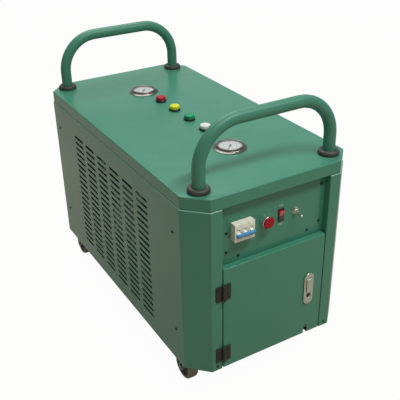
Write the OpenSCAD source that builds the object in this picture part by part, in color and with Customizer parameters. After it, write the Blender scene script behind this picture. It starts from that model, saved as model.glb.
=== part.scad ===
// Refrigerant recovery machine: a sheet-metal cabinet on four swivel casters, with tube handles,
// two gauges and four pilot lamps on the lid, and a control recess above a hinged service door.
// Millimetres. +Z is up, the front with the door faces -Y, and the origin is on the floor
// under the middle of the cabinet.

/* [Cabinet] */
// Width of the cabinet
cab_w = 460; // [430:5:500]
// Depth of the cabinet, front to back
cab_d = 880; // [860:5:960]
// Height of the cabinet, from its lower edge to the top of the lid
cab_h = 480; // [470:5:540]
// Leg of the 45 degree cut at each upright corner
corner = 50; // [44:1:56]
// Thickness of the panel sheet
sheet = 1.5; // [1:0.1:1.8]
// Thickness of the lid's sheet
lid_t = 2; // [1.5:0.1:2.5]
// Height of the lid's skirt
lid_skirt = 30; // [24:1:36]
// Folded edge of the lid, drawn as a small slope
lid_edge = 2.5; // [1:0.5:2.5]
// Gap between the lid's skirt and the panels below it
lid_seam = 1.5; // [1:0.1:3]
// Thickness of the floor tray
tray_t = 2; // [1.5:0.1:3]
// Height of the floor tray's upturned edge
tray_edge = 20; // [14:1:24]

/* [Vent slots] */
// Columns of slots in each side
slot_cols = 6; // [4:1:6]
// Rows of slots in each side
slot_rows = 20; // [14:1:20]
// Distance between slot columns
slot_pitch_y = 80; // [74:1:88]
// Length of a slot
slot_len = 60; // [50:1:64]
// Height of a slot
slot_h = 6; // [4:0.5:8]
// Height of the lowest slot above the cabinet's lower edge
slot_low = 51; // [40:1:60]
// Height of the highest slot below the panel's upper edge
slot_top = 55.5; // [48:0.5:70]

/* [Door and control recess] */
// Width of the front opening between the corner posts
open_w = 300; // [296:1:304]
// Height of the control recess, from the door's upper edge to the top of the lid
recess_h = 189; // [184:1:196]
// Depth of the door's folded edge
door_depth = 16.5; // [12:0.5:16.5]
// Gap around the door
door_gap = 2; // [1.5:0.1:3]
// Depth of the control panel behind the front face
recess = 18; // [17.5:0.5:20]
// Width of the hose notch in the door's lower edge
notch_w = 12; // [8:1:16]
// Height of the hose notch
notch_h = 28; // [20:1:40]
// Depth of the service bay behind the front face
bay_depth = 140; // [130:1:150]

/* [Hinges and lock] */
// Height of a hinge
hinge_h = 42; // [36:1:48]
// Width of a hinge leaf
leaf_w = 19; // [16:1:22]
// Thickness of a hinge leaf
leaf_t = 3; // [2:0.5:3.5]
// Radius of the hinge knuckle
knuckle_r = 4.5; // [4:0.1:5]
// Radius of the hinge pin
hinge_pin_r = 2; // [1.5:0.1:2.5]
// Middle of the lower hinge above the cabinet's lower edge
hinge_low = 46; // [40:1:60]
// Middle of the upper hinge below the door's upper edge
hinge_high = 63; // [50:1:90]
// Width of the lock's face
lock_w = 29; // [26:1:32]
// Height of the lock's face
lock_h = 93; // [88:1:100]
// Middle of the lock from the cabinet's middle
lock_x = 104; // [98:1:108]
// Middle of the lock below the door's upper edge
lock_down = 147; // [130:1:160]
// Radius of the lock's key plug
plug_r = 6.5; // [5.5:0.1:7]
// Reach of the lock's cam from the plug's axis
cam_reach = 54; // [53:0.5:56]

/* [Controls] */
// Height of the row of controls below the top of the lid
dev_down = 105; // [98:1:112]
// Middle of the circuit breaker from the cabinet's middle
breaker_x = -91; // [-96:1:-86]
// Width of the circuit breaker
breaker_w = 54; // [50:1:58]
// Height of the breaker's nose
nose_h = 45; // [43:1:48]
// Middle of the red button
button_x = -24; // [-28:1:-20]
// Diameter of the red button's cap
button_d = 29; // [26:1:32]
// Travel of the red button
button_travel = 4; // [3:0.5:5]
// Middle of the rocker switch
rocker_x = 21; // [16:1:25]
// Width of the rocker's frame
rocker_w = 17.5; // [16:0.5:20]
// Height of the rocker's frame
rocker_h = 34; // [31:0.5:36]
// Middle of the toggle switch
toggle_x = 62; // [54:1:70]
// Length of the toggle's lever from its pivot
toggle_len = 25; // [22:1:28]

/* [Handles] */
// Outer diameter of the handle tube
handle_d = 30; // [26:1:32]
// Distance of each handle leg from the cabinet's middle
handle_x = 180; // [176:1:182]
// Distance of each handle from the cabinet's front or rear face
handle_in = 50; // [48:1:56]
// Height of the handle's bar above the lid, to the tube's middle
handle_up = 150; // [130:5:180]
// Bend radius of the handle, at the tube's middle
handle_bend = 100; // [70:5:110]
// Outer diameter of the rubber collar round each leg
collar_d = 52; // [46:1:56]
// Height of the rubber collar
collar_h = 12; // [8:1:16]

/* [Gauges and lamps] */
// Distance of each gauge from the cabinet's middle, front and back
gauge_y = 236; // [226:1:244]
// Outer diameter of the gauge flange
gauge_d = 84; // [80:1:90]
// Diameter of the gauge's bezel
bezel_d = 68; // [66:1:72]
// Height of the bezel above the lid
bezel_h = 9; // [8:0.5:12]
// Diameter of the gauge's case under the lid
case_d = 62; // [56:1:62]
// Distance of the row of lamps from the cabinet's middle line
lamp_x = 6; // [0:1:12]
// Middle of the row of lamps, front to back
lamp_mid = 15; // [5:1:20]
// Distance between lamps
lamp_pitch = 82; // [76:1:84]
// Diameter of a lamp's base
lamp_d = 30; // [28:1:32]
// Height of a lamp above the lid
lamp_h = 13; // [11:0.5:16]

/* [Casters] */
// Height of the cabinet's lower edge above the floor
caster_h = 100; // [96:1:110]
// Diameter of a wheel
wheel_d = 75; // [70:1:76]
// Width of a wheel
wheel_w = 28; // [24:1:32]
// Distance of each swivel axis from the cabinet's middle, left and right
caster_x = 185; // [176:1:188]
// Distance of each swivel axis from the cabinet's front or rear face
caster_in = 90; // [84:1:110]
// Trail of the wheel behind the swivel axis
trail = 30; // [24:1:34]
// Radius of a wheel axle
axle_r = 4; // [3.5:0.1:5]

/* [Machinery] */
// Distance of the fan's blade tips from the coil's upper and lower edges
fan_edge = 29; // [26:1:45]
// Blades on the fan
blade_count = 5; // [3:1:7]
// Radius of the compressor's shell
comp_r = 85; // [75:1:88]
// Height of the compressor's shell
comp_h = 270; // [240:5:280]
// Diameter of the refrigerant pipes
pipe_d = 10; // [8:1:12]

/* [Hidden] */
$fn = 64;
// Fits
seat = 0.3;
run = 0.05;
loose = 0.2;
hole_fit = 0.5;
// Levels
z_low = caster_h;
z_top = caster_h + cab_h;
z_under_lid = z_top - lid_t;
panel_h = cab_h - lid_skirt - lid_seam;
z_floor = z_low + tray_t;
y_front = -cab_d/2;
y_panel = y_front + recess;
z_dev = z_top - dev_down;
door_h = cab_h - recess_h;
slot_pitch_z = (panel_h - slot_low - slot_top)/(slot_rows - 1);
side_flat = cab_d - 2*corner;
handle_y = cab_d/2 - handle_in;
caster_y = cab_d/2 - caster_in;
fold_run = 2;
flat_half = side_flat/2 - fold_run;
return_depth = recess - loose;
top_flange = 12;
// Frame
upright_r = handle_d/2 + loose;
upright_wall = 3.8;
upright_out = upright_r + upright_wall;
handle_depth = 60;
tube_wall = 2.5;
// Screws
screw_r = 2;
head_r = 3.6;
head_t = 1.6;
screw_len = 7;
side_screw_in = 36;
side_screw_y = handle_y - side_screw_in;
side_screw_low = 97;
side_screw_high = 73.5;
side_screw_up = [side_screw_low, panel_h - side_screw_high];
rear_screw_x = (open_w + cab_w - 2*corner)/4;
rear_screw_low = 60;
rear_screw_high = 28.5;
rear_screw_top = panel_h - rear_screw_high;
rear_screw_up = [rear_screw_low, (rear_screw_low + rear_screw_top)/2, rear_screw_top];
lap = 27;
// Control panel
panel_low = z_low + door_h - 15;
panel_top = z_under_lid - 6;
panel_flange = 14;
panel_half = open_w/2 + 12;
panel_screws_at = [[-130, -2], [-97, -71], [-130, -53], [102, -67], [137, -51], [137, 50]];
// Service bay
bay_half = open_w/2 + 6;
bay_front = y_front + 35;
bay_back = y_front + bay_depth;
bay_top = panel_low - seat;
// Door
door_half = open_w/2 - door_gap;
hinge_x = -open_w/2 + door_gap/2;
hinge_y = y_front - knuckle_r - seat;
hinge_list = [z_low + hinge_low, z_low + door_h - hinge_high];
knuckle_share = hinge_h/3;
// Lock
z_lock = z_low + door_h - lock_down;
lock_face = 4;
lock_back = 15;
grip_w = 16;
grip_h = 42;
grip_t = 7;
grip_up = 10;
grip_z = z_lock + grip_up;
grip_pivot_y = y_front - lock_face + 0.5;
grip_pivot_z = grip_z + grip_h/2 - grip_t/2;
grip_pin_r = 1.2;
plug_down = 20;
plug_z = z_lock - plug_down;
plug_set = 1.5;
cam_t = 3;
cam_y = y_panel + 3;
// Controls
nose_out = recess;
pole_w = breaker_w/3;
breaker_deep = 46;
breaker_body_h = 80;
lever_z = z_dev + 2;
lever_y = y_front + 8;
lever_barrel = 7;
lever_slot = 9;
lever_reach = 17;
lever_rest = 25;
button_front = y_front - 2;
cap_t = 9;
button_stem_r = 8;
bezel_out = 16;
bezel_floor = 6;
bezel_wall = 1.5;
button_body_r = 11;
button_deep = 43;
rocker_flange = 2;
paddle_w = rocker_w - 5.5;
paddle_h = rocker_h - 7;
rocker_pivot_y = y_panel - 0.5;
rocker_tilt = 10;
toggle_pivot_y = y_panel - 5;
toggle_bush_r = 6;
toggle_bush = 9;
toggle_ball = 3.6;
toggle_pin_r = 0.8;
toggle_rest = 12;
// Gauges
dial_r = bezel_d/2 - 5.5;
dial_up = 4;
pointer_gap = 0.5;
lens_up = 6.4;
case_deep = 30;
pointer_len = dial_r - 5;
// Lamps
lamp_base_h = 4;
lamp_body_r = 11;
lamp_body_deep = 38;
lamp_places = [for (i = [0:3]) lamp_mid + lamp_pitch*(1.5 - i)];
// Casters
plate_t = 3;
plate_w = 76;
plate_l = 80;
kingpin_r = 5;
race_r = 23;
race_h = 9;
race_taper = 3;
kingpin_lip = 3;
z_race = caster_h - plate_t - race_h;
fork_t = 3;
z_fork = z_race - seat - 4;
leg_in = wheel_w/2 + 1.5;
leg_end_r = 11;
hub_half = leg_in - 0.5;
axle_z = wheel_d/2;
// Machinery
coil_side = 150;
coil_x = coil_side - cab_w/2;
coil_t = 60;
coil_low = 22;
coil_head = 80;
coil_h = cab_h - coil_low - coil_head;
end_plate = 2;
coil_room = 70;
rear_room = 210;
coil_front = bay_back + coil_room;
coil_rear = cab_d/2 - rear_room;
coil_y = (coil_front + coil_rear)/2;
coil_half = (coil_rear - coil_front)/2;
coil_left = coil_x - coil_t/2;
coil_top = z_low + coil_low + coil_h;
coil_inlet = 34;
coil_outlet = 60;
shroud_t = 2;
shroud_depth = 36;
shroud_lip = 2;
fan_gap = 5;
fan_lift = 11;
fan_r = coil_h/2 - fan_edge;
z_fan = coil_top - coil_h/2 + fan_lift;
fan_back = 22;
fan_x = coil_left - shroud_t - fan_back;
fan_hub_r = 28;
fan_hub_len = 24;
blade_root = 20;
blade_tip = 66;
blade_lead = 6;
motor_r = 45;
motor_len = 52;
motor_gap = 20;
motor_x = fan_x - motor_gap;
shaft_r = 4;
comp_side = 125;
comp_back = 200;
comp_x = cab_w/2 - comp_side;
comp_y = bay_back + comp_back;
foot_t = 4;
mount_h = 25;
mount_span = 80;
comp_base = z_floor + mount_h;
comp_top = comp_base + foot_t + comp_h;
comp_stub = 45;
stub_r = 8;
term_w = 60;
term_d = 40;
term_h = 80;
term_up = 120;
term_out = 22;
sep_side = 110;
sep_back = 230;
sep_x = cab_w/2 - sep_side;
sep_y = comp_y + sep_back;
sep_r = 52;
sep_h = 300;
sep_stub = 15;
sep_outlet = 28;
valve_x = comp_x - comp_stub;
valve_up = 150;
z_valve = z_low + valve_up;
valve_rim = 2;
valve_hex = 26;
valve_neck = 12;
valve_stub = 18;
valve_stub_r = 9;
stem_y = bay_back - 15;
stem_r = 3;
stem_seat = 16;
stem_top = 22;
lever_t = 4;
lever_long = 48;
lever_half = 5;
port_r = 5.55;
port_len = 12;
port_lead = 2;
pipe_rise = 46;
z_pipe = comp_top + pipe_rise;
z_discharge = z_pipe + 50;
z_hot = coil_top + 27;
elbow_back = 46;
elbow_y = bay_back + elbow_back;
drier_r = 30;
drier_len = 110;
drier_nut = 14;
drier_nut_r = 9;
drier_back = 126;
drier_y = bay_back + drier_back;
box_half = 110;
box_deep = 90;
box_low = 190;
box_h = 210;
gland_r = 10;
gland_len = 12;
gland_pitch = 60;

// Plan outline of the cabinet, moved inwards by t
function plan_points(t) =
    let (w = cab_w/2 - t, d = cab_d/2 - t, c = corner - t*(2 - sqrt(2)))
    [[-w + c, -d], [w - c, -d], [w, -d + c], [w, d - c],
     [w - c, d], [-w + c, d], [-w, d - c], [-w, -d + c]];

module plan(t = 0) polygon(plan_points(t));

// Ring of sheet that follows the plan outline
module plan_ring(outer, inner) {
    difference() {
        plan(outer);
        plan(inner);
    }
}

// Oblong with round ends, its long side along Y
module oblong(w, h) {
    square([w, h - w], center = true);
    for (s = [-1, 1])
        translate([0, s*(h - w)/2]) circle(d = w);
}

// Turns a flat drawing (x, z) to face -Y and gives it a thickness, from y towards the back
module face_plate(y, t) {
    translate([0, y + t, 0]) rotate([90, 0, 0]) linear_extrude(t) children();
}

// Round bar along Y, from y towards the back
module bar_y(x, y, z, r, len) translate([x, y, z]) rotate([-90, 0, 0]) cylinder(r = r, h = len);

// Round bar along X, from x to the right
module bar_x(x, y, z, r, len) translate([x, y, z]) rotate([0, 90, 0]) cylinder(r = r, h = len);

// Box from its low corner to its high corner
module span_box(low, high) translate(low) cube(high - low);

// Floor pan: it ends behind the door, where its edge has a gap for the hoses
module base_tray() {
    out = sheet + loose;
    edge_y = y_panel + 4;
    color("#3f7d64") translate([0, 0, z_low]) {
        linear_extrude(tray_t) intersection() {
            plan(out);
            translate([-cab_w/2, edge_y]) square([cab_w, cab_d]);
        }
        linear_extrude(tray_edge) {
            intersection() {
                plan_ring(out, out + tray_t);
                translate([-cab_w/2, edge_y]) square([cab_w, cab_d]);
            }
            difference() {
                intersection() {
                    plan(out);
                    translate([-cab_w/2, edge_y]) square([cab_w, tray_t]);
                }
                translate([lock_x - notch_w/2 - 2, edge_y - 1]) square([notch_w + 4, tray_t + 2]);
            }
        }
    }
}

// Slots of the left side, drawn in (y, z)
module slot_field() {
    for (i = [0:slot_cols - 1], j = [0:slot_rows - 1])
        translate([slot_pitch_y*(i - (slot_cols - 1)/2), z_low + slot_low + slot_pitch_z*j])
            rotate(90) oblong(slot_h, slot_len);
}

// One folded side: slotted face, both cut corners, front and rear strips and the edge flanges
module side_sheet() {
    rear_holes = [for (z = rear_screw_up) z_low + z];
    difference() {
        union() {
            translate([-cab_w/2, 0, 0]) rotate([90, 0, 90]) linear_extrude(sheet) difference() {
                translate([-flat_half, z_low]) square([2*flat_half, panel_h]);
                slot_field();
                for (s = [-1, 1], z = side_screw_up)
                    translate([s*side_screw_y, z_low + z]) circle(screw_r + loose);
            }
            translate([0, 0, z_low]) linear_extrude(panel_h) {
                intersection() {
                    plan_ring(0, sheet);
                    union()
                        for (s = [0, 1]) mirror([0, s])
                            translate([-cab_w/2, y_front])
                                square([(cab_w - open_w)/2, cab_d/2 - flat_half]);
                }
                translate([-open_w/2 - sheet, y_front]) square([sheet, return_depth]);
            }
            translate([0, 0, z_low + panel_h - sheet]) linear_extrude(sheet) intersection() {
                plan_ring(sheet/2, sheet + top_flange);
                translate([-cab_w/2, y_front + recess]) square([(cab_w - open_w)/2, cab_d - recess]);
            }
        }
        for (z = rear_holes) bar_y(-rear_screw_x, cab_d/2 - 2*sheet, z, screw_r + loose, 4*sheet);
    }
}

module left_side_panel() color("#4d8a70") side_sheet();

module right_side_panel() color("#4d8a70") mirror([1, 0, 0]) side_sheet();

module rear_panel() {
    half = open_w/2 + lap;
    y = cab_d/2 - 2*sheet - loose/2;
    color("#4d8a70") difference() {
        union() {
            face_plate(y, sheet) translate([-half, z_floor]) square([2*half, panel_h - tray_t - 4]);
            for (s = [-1, 1])
                translate([s > 0 ? half - sheet : -half, y - 10, z_floor])
                    cube([sheet, 10, panel_h - tray_t - 4]);
        }
        translate([-cab_w/2, y - lap, z_low]) cube([cab_w, 2*lap, tray_edge + 2]);
        for (s = [-1, 1], z = rear_screw_up)
            bar_y(s*rear_screw_x, y - 2*sheet, z_low + z, screw_r + loose, 6*sheet);
    }
}

module top_lid() {
    color("#4d8a70") difference() {
        hull() {
            translate([0, 0, z_top - lid_skirt]) linear_extrude(lid_skirt - lid_edge) plan(0);
            translate([0, 0, z_top - lid_edge]) linear_extrude(lid_edge) plan(lid_edge);
        }
        translate([0, 0, z_top - lid_skirt - 1]) linear_extrude(lid_skirt + 1 - lid_t) plan(lid_t);
        for (sx = [-1, 1], sy = [-1, 1])
            translate([sx*handle_x, sy*handle_y, z_under_lid - 1]) cylinder(r = upright_r, h = lid_t + 2);
        for (s = [-1, 1])
            translate([0, s*gauge_y, z_under_lid - 1]) cylinder(d = case_d + 2*hole_fit, h = lid_t + 2);
        for (y = lamp_places)
            translate([lamp_x, y, z_under_lid - 1]) cylinder(r = lamp_body_r + hole_fit/2, h = lid_t + 2);
    }
}

module control_panel() {
    color("#4d8a70") difference() {
        union() {
            face_plate(y_panel, sheet)
                translate([-panel_half, panel_low]) square([2*panel_half, panel_top - panel_low]);
            for (z = [panel_low, panel_top - sheet])
                translate([-panel_half, y_panel, z]) cube([2*panel_half, panel_flange, sheet]);
        }
        face_plate(y_panel - 1, sheet + 2) {
            translate([breaker_x, z_dev])
                square([breaker_w + 2*seat, nose_h + 2*seat], center = true);
            translate([rocker_x, z_dev]) square([paddle_w + 2, paddle_h + 2], center = true);
        }
        bar_y(button_x, y_panel - 1, z_dev, button_body_r + loose, sheet + 2);
        bar_y(toggle_x, y_panel - 1, z_dev, toggle_bush_r + loose, sheet + 2);
        for (p = panel_screws_at)
            bar_y(p[0], y_panel - 1, z_dev + p[1], screw_r + loose, sheet + 2);
    }
}

// Open box of sheet behind the door: back wall, ceiling and two cheeks
module bay_liner() {
    color("#8f9a94") difference() {
        union() {
            span_box([-bay_half - sheet, bay_front, z_floor + tray_edge],
                [bay_half + sheet, bay_back + sheet, bay_top]);
            span_box([-bay_half - sheet, bay_back, z_floor], [bay_half + sheet, bay_back + sheet, bay_top]);
        }
        span_box([-bay_half, bay_front - 1, z_floor + tray_edge - 1], [bay_half, bay_back, bay_top - sheet]);
        for (s = [-1, 1]) bar_y(s*valve_x, bay_back - 1, z_valve, valve_stub_r + loose, sheet + 2);
    }
}

// Corner tubes that take the handle legs, each with two tabs for the side panel's screws
module frame_uprights() {
    tab_in = cab_w/2 - sheet - loose;
    tab_t = 3;
    tab_half = 15;
    web_y = handle_y - 7;
    color("#6c7570") for (sx = [0, 1], sy = [0, 1]) mirror([sx, 0, 0]) mirror([0, sy, 0]) difference() {
        union() {
            translate([handle_x, handle_y, z_floor]) cylinder(r = upright_out, h = z_under_lid - z_floor);
            for (z = side_screw_up) {
                span_box([tab_in - tab_t, side_screw_y - tab_half, z_low + z - tab_half],
                    [tab_in, web_y, z_low + z + tab_half]);
                span_box([handle_x + upright_r - 1, web_y - tab_t, z_low + z - tab_half],
                    [tab_in, web_y, z_low + z + tab_half]);
            }
        }
        translate([handle_x, handle_y, z_floor - 1]) cylinder(r = upright_r, h = z_top);
        for (z = side_screw_up)
            bar_x(tab_in - 2*tab_t, side_screw_y, z_low + z, screw_r + loose, 3*tab_t);
    }
}

// Rod bent to a U, with its legs down through the lid and lengthened by extra
module bent_rod(d, extra) {
    straight = handle_up - handle_bend + handle_depth + extra;
    for (s = [0, 1]) mirror([s, 0, 0]) {
        translate([handle_x, 0, z_top - handle_depth - extra]) cylinder(d = d, h = straight);
        translate([handle_x - handle_bend, 0, z_top + handle_up - handle_bend])
            rotate([90, 0, 0]) rotate_extrude(angle = 90) translate([handle_bend, 0]) circle(d = d);
        bar_x(0, 0, z_top + handle_up, d/2, handle_x - handle_bend);
    }
}

module tube_handle() {
    difference() {
        bent_rod(handle_d, 0);
        bent_rod(handle_d - 2*tube_wall, 1);
    }
}

module front_handle() color("#3f8268") translate([0, -handle_y, 0]) tube_handle();

module rear_handle() color("#3f8268") translate([0, handle_y, 0]) tube_handle();

module handle_collars() {
    inner = handle_d/2 + loose;
    outer = collar_d/2;
    lip = 4;
    color("#3c3a38") for (sx = [-1, 1], sy = [-1, 1])
        translate([sx*handle_x, sy*handle_y, z_top]) rotate_extrude() {
            translate([inner, 0]) square([outer - lip - inner, collar_h]);
            translate([inner, 0]) square([outer - inner, collar_h - lip]);
            translate([outer - lip, collar_h - lip]) circle(lip);
        }
}

// Flanged panel gauge: sloped flange, bezel with a dial well, case and threaded stem below
module gauge_case() {
    rotate_extrude() polygon([[0, -case_deep], [case_d/2, -case_deep], [case_d/2, 0], [gauge_d/2, 0],
        [gauge_d/2, 1.5], [bezel_d/2 + 2, 3], [bezel_d/2, bezel_h - 1.5], [bezel_d/2 - 1.5, bezel_h],
        [dial_r + 1.5, bezel_h], [dial_r + 1.5, dial_up - 1], [0, dial_up - 1]]);
    translate([0, 0, -case_deep - 8]) cylinder(r = 9, h = 8, $fn = 6);
    translate([0, 0, -case_deep - 22]) cylinder(r = 6.5, h = 14);
    translate([0, 0, dial_up - 1]) cylinder(r = 1.2, h = 2.6);
}

module gauge_cases() color("#b9bab8") for (s = [-1, 1]) translate([0, s*gauge_y, z_top]) gauge_case();

module gauge_dials() {
    color("#f4f3ee") for (s = [-1, 1]) translate([0, s*gauge_y, z_top + dial_up - 1]) difference() {
        cylinder(r = dial_r + 1.5 - loose, h = 1);
        translate([0, 0, -1]) cylinder(r = 1.2 + loose, h = 3);
    }
}

module gauge_lenses() {
    color("#dfe9ec", 0.35) for (s = [-1, 1])
        translate([0, s*gauge_y, z_top + lens_up]) cylinder(r = dial_r + 1.5 - run, h = 1.8);
}

// Needle on a hub, pointing to the low end of its scale
module gauge_pointer() {
    translate([0, 0, dial_up + pointer_gap]) rotate(135) linear_extrude(0.8) difference() {
        union() {
            circle(4);
            polygon([[-1.6, -9], [1.6, -9], [1.3, 0], [0.4, pointer_len], [-0.4, pointer_len], [-1.3, 0]]);
        }
        circle(1.2 + run);
    }
}

module front_gauge_pointer() color("#1a1a1a") translate([0, -gauge_y, z_top]) gauge_pointer();

module rear_gauge_pointer() color("#1a1a1a") translate([0, gauge_y, z_top]) gauge_pointer();

module lamp_bases() {
    color("#1d1d1d") for (y = lamp_places) translate([lamp_x, y, z_top]) {
        cylinder(d = lamp_d, h = lamp_base_h);
        translate([0, 0, -lamp_body_deep]) cylinder(r = lamp_body_r, h = lamp_body_deep);
        translate([0, 0, -lid_t - loose - 6]) cylinder(r = 15, h = 6, $fn = 6);
    }
}

// Domed cap of a pilot lamp
module lamp_lens(i) {
    r = lamp_d/2 - 1;
    round_r = 4;
    tall = lamp_h - lamp_base_h;
    translate([lamp_x, lamp_places[i], z_top + lamp_base_h]) rotate_extrude() {
        square([r - round_r, tall]);
        square([r, tall - round_r]);
        translate([r - round_r, tall - round_r]) circle(round_r);
    }
}

module red_lamp_lens() color("#c4142c") lamp_lens(0);

module yellow_lamp_lens() color("#e8e000") lamp_lens(1);

module green_lamp_lens() color("#0a9a52") lamp_lens(2);

module white_lamp_lens() color("#eeeeee") lamp_lens(3);

// Three-pole breaker: body behind the panel and a nose through it, with a lever well in each pole
module breaker_body() {
    y_back = y_panel + sheet + loose;
    color("#dedac3") difference() {
        union() {
            translate([breaker_x - breaker_w/2, y_front, z_dev - nose_h/2])
                cube([breaker_w, y_back - y_front + 1, nose_h]);
            translate([breaker_x - breaker_w/2, y_back, z_dev - breaker_body_h/2])
                cube([breaker_w, breaker_deep, breaker_body_h]);
        }
        for (i = [-1, 0, 1]) {
            bar_x(breaker_x + i*pole_w - lever_slot/2, lever_y, lever_z, lever_barrel + seat, lever_slot);
            translate([breaker_x + i*pole_w - lever_slot/2, y_front - 1, lever_z - lever_barrel - 1])
                cube([lever_slot, lever_y - y_front + 1, 2*lever_barrel + 2]);
        }
        for (i = [-0.5, 0.5])
            translate([breaker_x + i*pole_w - 0.3, y_front - 1, z_dev - nose_h])
                cube([0.6, 2, 2*nose_h]);
        translate([breaker_x - breaker_w/2 - 1, y_front - 1, z_dev - nose_h/2 - 1])
            cube([breaker_w + 2, 5, 5]);
    }
}

// Joined lever: a barrel and a finger in each pole, with one bar across the fingers
module breaker_lever() {
    w = lever_slot - 2*seat;
    bar_w = breaker_w - 4;
    color("#2d82b9") translate([breaker_x, lever_y, lever_z]) rotate([lever_rest, 0, 0]) {
        for (i = [-1, 0, 1]) {
            bar_x(i*pole_w - w/2, 0, 0, lever_barrel, w);
            translate([i*pole_w - w/2, -lever_reach, -3]) cube([w, lever_reach, 6]);
        }
        translate([-bar_w/2, -lever_reach - 1, -5]) cube([bar_w, 6, 10]);
    }
}

// Chromed collar that surrounds the red cap, with its body behind the panel
module button_bezel() {
    color("#c9cac8") difference() {
        union() {
            bar_y(button_x, y_panel - bezel_out, z_dev, button_d/2 + bezel_wall, bezel_out);
            bar_y(button_x, y_panel - 1, z_dev, button_body_r, button_deep + 1);
        }
        bar_y(button_x, y_panel - bezel_out - 1, z_dev, button_d/2 + seat, bezel_out - bezel_floor + 1);
        bar_y(button_x, y_panel - bezel_out - 1, z_dev, button_stem_r + run, bezel_out + 24);
    }
}

// Red cap on its plunger, with a faceted face
module push_button() {
    back = button_front + cap_t;
    facets = 8;
    color("#c8142d") {
        difference() {
            union() {
                translate([button_x, back, z_dev]) rotate([90, 0, 0]) rotate_extrude() polygon([[0, 0],
                    [button_d/2 - 1, 0], [button_d/2, 1], [button_d/2, cap_t - 3], [button_d/2 - 3, cap_t],
                    [0, cap_t]]);
                bar_y(button_x, back - 1, z_dev, button_stem_r, 24);
            }
            for (i = [0:facets - 1])
                translate([button_x, button_front, z_dev]) rotate([0, i*360/facets, 0])
                    translate([0, 0, 7]) rotate([45, 0, 0]) cube([0.8, 1.4, 1.4], center = true);
        }
    }
}

module rocker_frame() {
    deep = 22;
    color("#1b1a1a") difference() {
        union() {
            face_plate(y_panel - rocker_flange, rocker_flange)
                translate([rocker_x, z_dev]) square([rocker_w, rocker_h], center = true);
            face_plate(y_panel - 1, deep)
                translate([rocker_x, z_dev])
                    square([paddle_w + 2 - loose, paddle_h + 2 - loose], center = true);
        }
        face_plate(y_panel - rocker_flange - 1, 14)
            translate([rocker_x, z_dev]) square([paddle_w + 2*seat, paddle_h + 2*seat], center = true);
    }
    color("#1b1a1a") bar_x(rocker_x - paddle_w/2 - 0.6, rocker_pivot_y + 4, z_dev, 1, paddle_w + 1.2);
}

// Paddle with two faces that meet at the middle, the upper one standing out at rest
module rocker_paddle() {
    half = paddle_h/2 - 1.4;
    color("#d23c50") translate([rocker_x - paddle_w/2, rocker_pivot_y + 4, z_dev])
        rotate([rocker_tilt, 0, 0]) rotate([90, 0, 90]) difference() {
            linear_extrude(paddle_w) polygon([[-6.2, 0], [-8, half], [0, half - 1], [4, 3], [4, -3],
                [0, -half + 1], [-8, -half]]);
            translate([0, 0, -1]) cylinder(r = 1 + run, h = paddle_w + 2);
        }
}

// Threaded bushing and nut of the toggle switch, with its body behind the panel
module toggle_bushing() {
    front = y_panel - toggle_bush;
    color("#b8b29c") difference() {
        union() {
            bar_y(toggle_x, front, z_dev, toggle_bush_r, toggle_bush + 3);
            translate([toggle_x, y_panel - 2.5, z_dev]) rotate([-90, 0, 0]) cylinder(r = 8, h = 2.5, $fn = 6);
            translate([toggle_x - 6.5, y_panel + sheet + loose, z_dev - 15]) cube([13, 26, 30]);
        }
        bar_y(toggle_x, toggle_pivot_y, z_dev, toggle_ball + run, 8);
        translate([toggle_x, toggle_pivot_y, z_dev]) sphere(toggle_ball + run);
        translate([toggle_x, front - 0.1, z_dev]) rotate([-90, 0, 0])
            cylinder(r1 = 3.9, r2 = 2.9, h = toggle_pivot_y - front + 0.1);
    }
    color("#b8b29c")
        bar_x(toggle_x - toggle_bush_r + 1, toggle_pivot_y, z_dev, toggle_pin_r, 2*toggle_bush_r - 2);
}

// Bat lever that grows towards its round tip
module toggle_lever() {
    tip_r = 3.6;
    color("#c4beaa") translate([toggle_x, toggle_pivot_y, z_dev]) rotate([90 + toggle_rest, 0, 0]) {
        difference() {
            sphere(toggle_ball);
            bar_x(-2*toggle_ball, 0, 0, toggle_pin_r + run, 4*toggle_ball);
        }
        difference() {
            cylinder(r1 = 2, r2 = tip_r, h = toggle_len - tip_r);
            bar_x(-2*toggle_ball, 0, 0, toggle_pin_r + run, 4*toggle_ball);
        }
        translate([0, 0, toggle_len - tip_r]) sphere(tip_r);
    }
}

// Pan-head screw along Z, head up, with the head's underside at z = 0
module screw(len = screw_len) {
    cylinder(r1 = head_r, r2 = head_r - 1, h = head_t);
    translate([0, 0, -len]) cylinder(r = screw_r, h = len + 0.1);
}

module panel_screws() {
    color("#222020") {
        for (p = panel_screws_at) translate([p[0], y_panel, z_dev + p[1]]) rotate([90, 0, 0]) screw();
        for (sx = [0, 1], sy = [-1, 1], z = side_screw_up) mirror([sx, 0, 0])
            translate([cab_w/2, sy*side_screw_y, z_low + z]) rotate([0, 90, 0]) screw();
        for (s = [-1, 1], z = rear_screw_up)
            translate([s*rear_screw_x, cab_d/2, z_low + z]) rotate([-90, 0, 0]) screw();
    }
}

// Folded pan with a notch for the hoses in its lower edge
module front_door() {
    z_door = z_low + door_h;
    color("#4a806a") difference() {
        span_box([-door_half, y_front, z_low], [door_half, y_front + door_depth, z_door]);
        span_box([-door_half + sheet, y_front + sheet, z_low + sheet],
            [door_half - sheet, y_front + door_depth + 1, z_door - sheet]);
        face_plate(y_front - 1, door_depth + 2) {
            translate([lock_x, z_low + (notch_h - notch_w/2)/2 - 0.5])
                square([notch_w, notch_h - notch_w/2 + 1], center = true);
            translate([lock_x, z_low + notch_h - notch_w/2]) circle(d = notch_w);
        }
        face_plate(y_front - 1, sheet + 2) translate([lock_x, z_lock]) oblong(lock_w - 7, lock_h - 9);
    }
}

// Knuckle of a hinge between two heights, with its bore
module knuckle(low, high, bore) {
    translate([hinge_x, hinge_y, low]) difference() {
        cylinder(r = knuckle_r, h = high - low);
        translate([0, 0, -1]) cylinder(r = bore, h = high - low + 2);
    }
}

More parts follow.
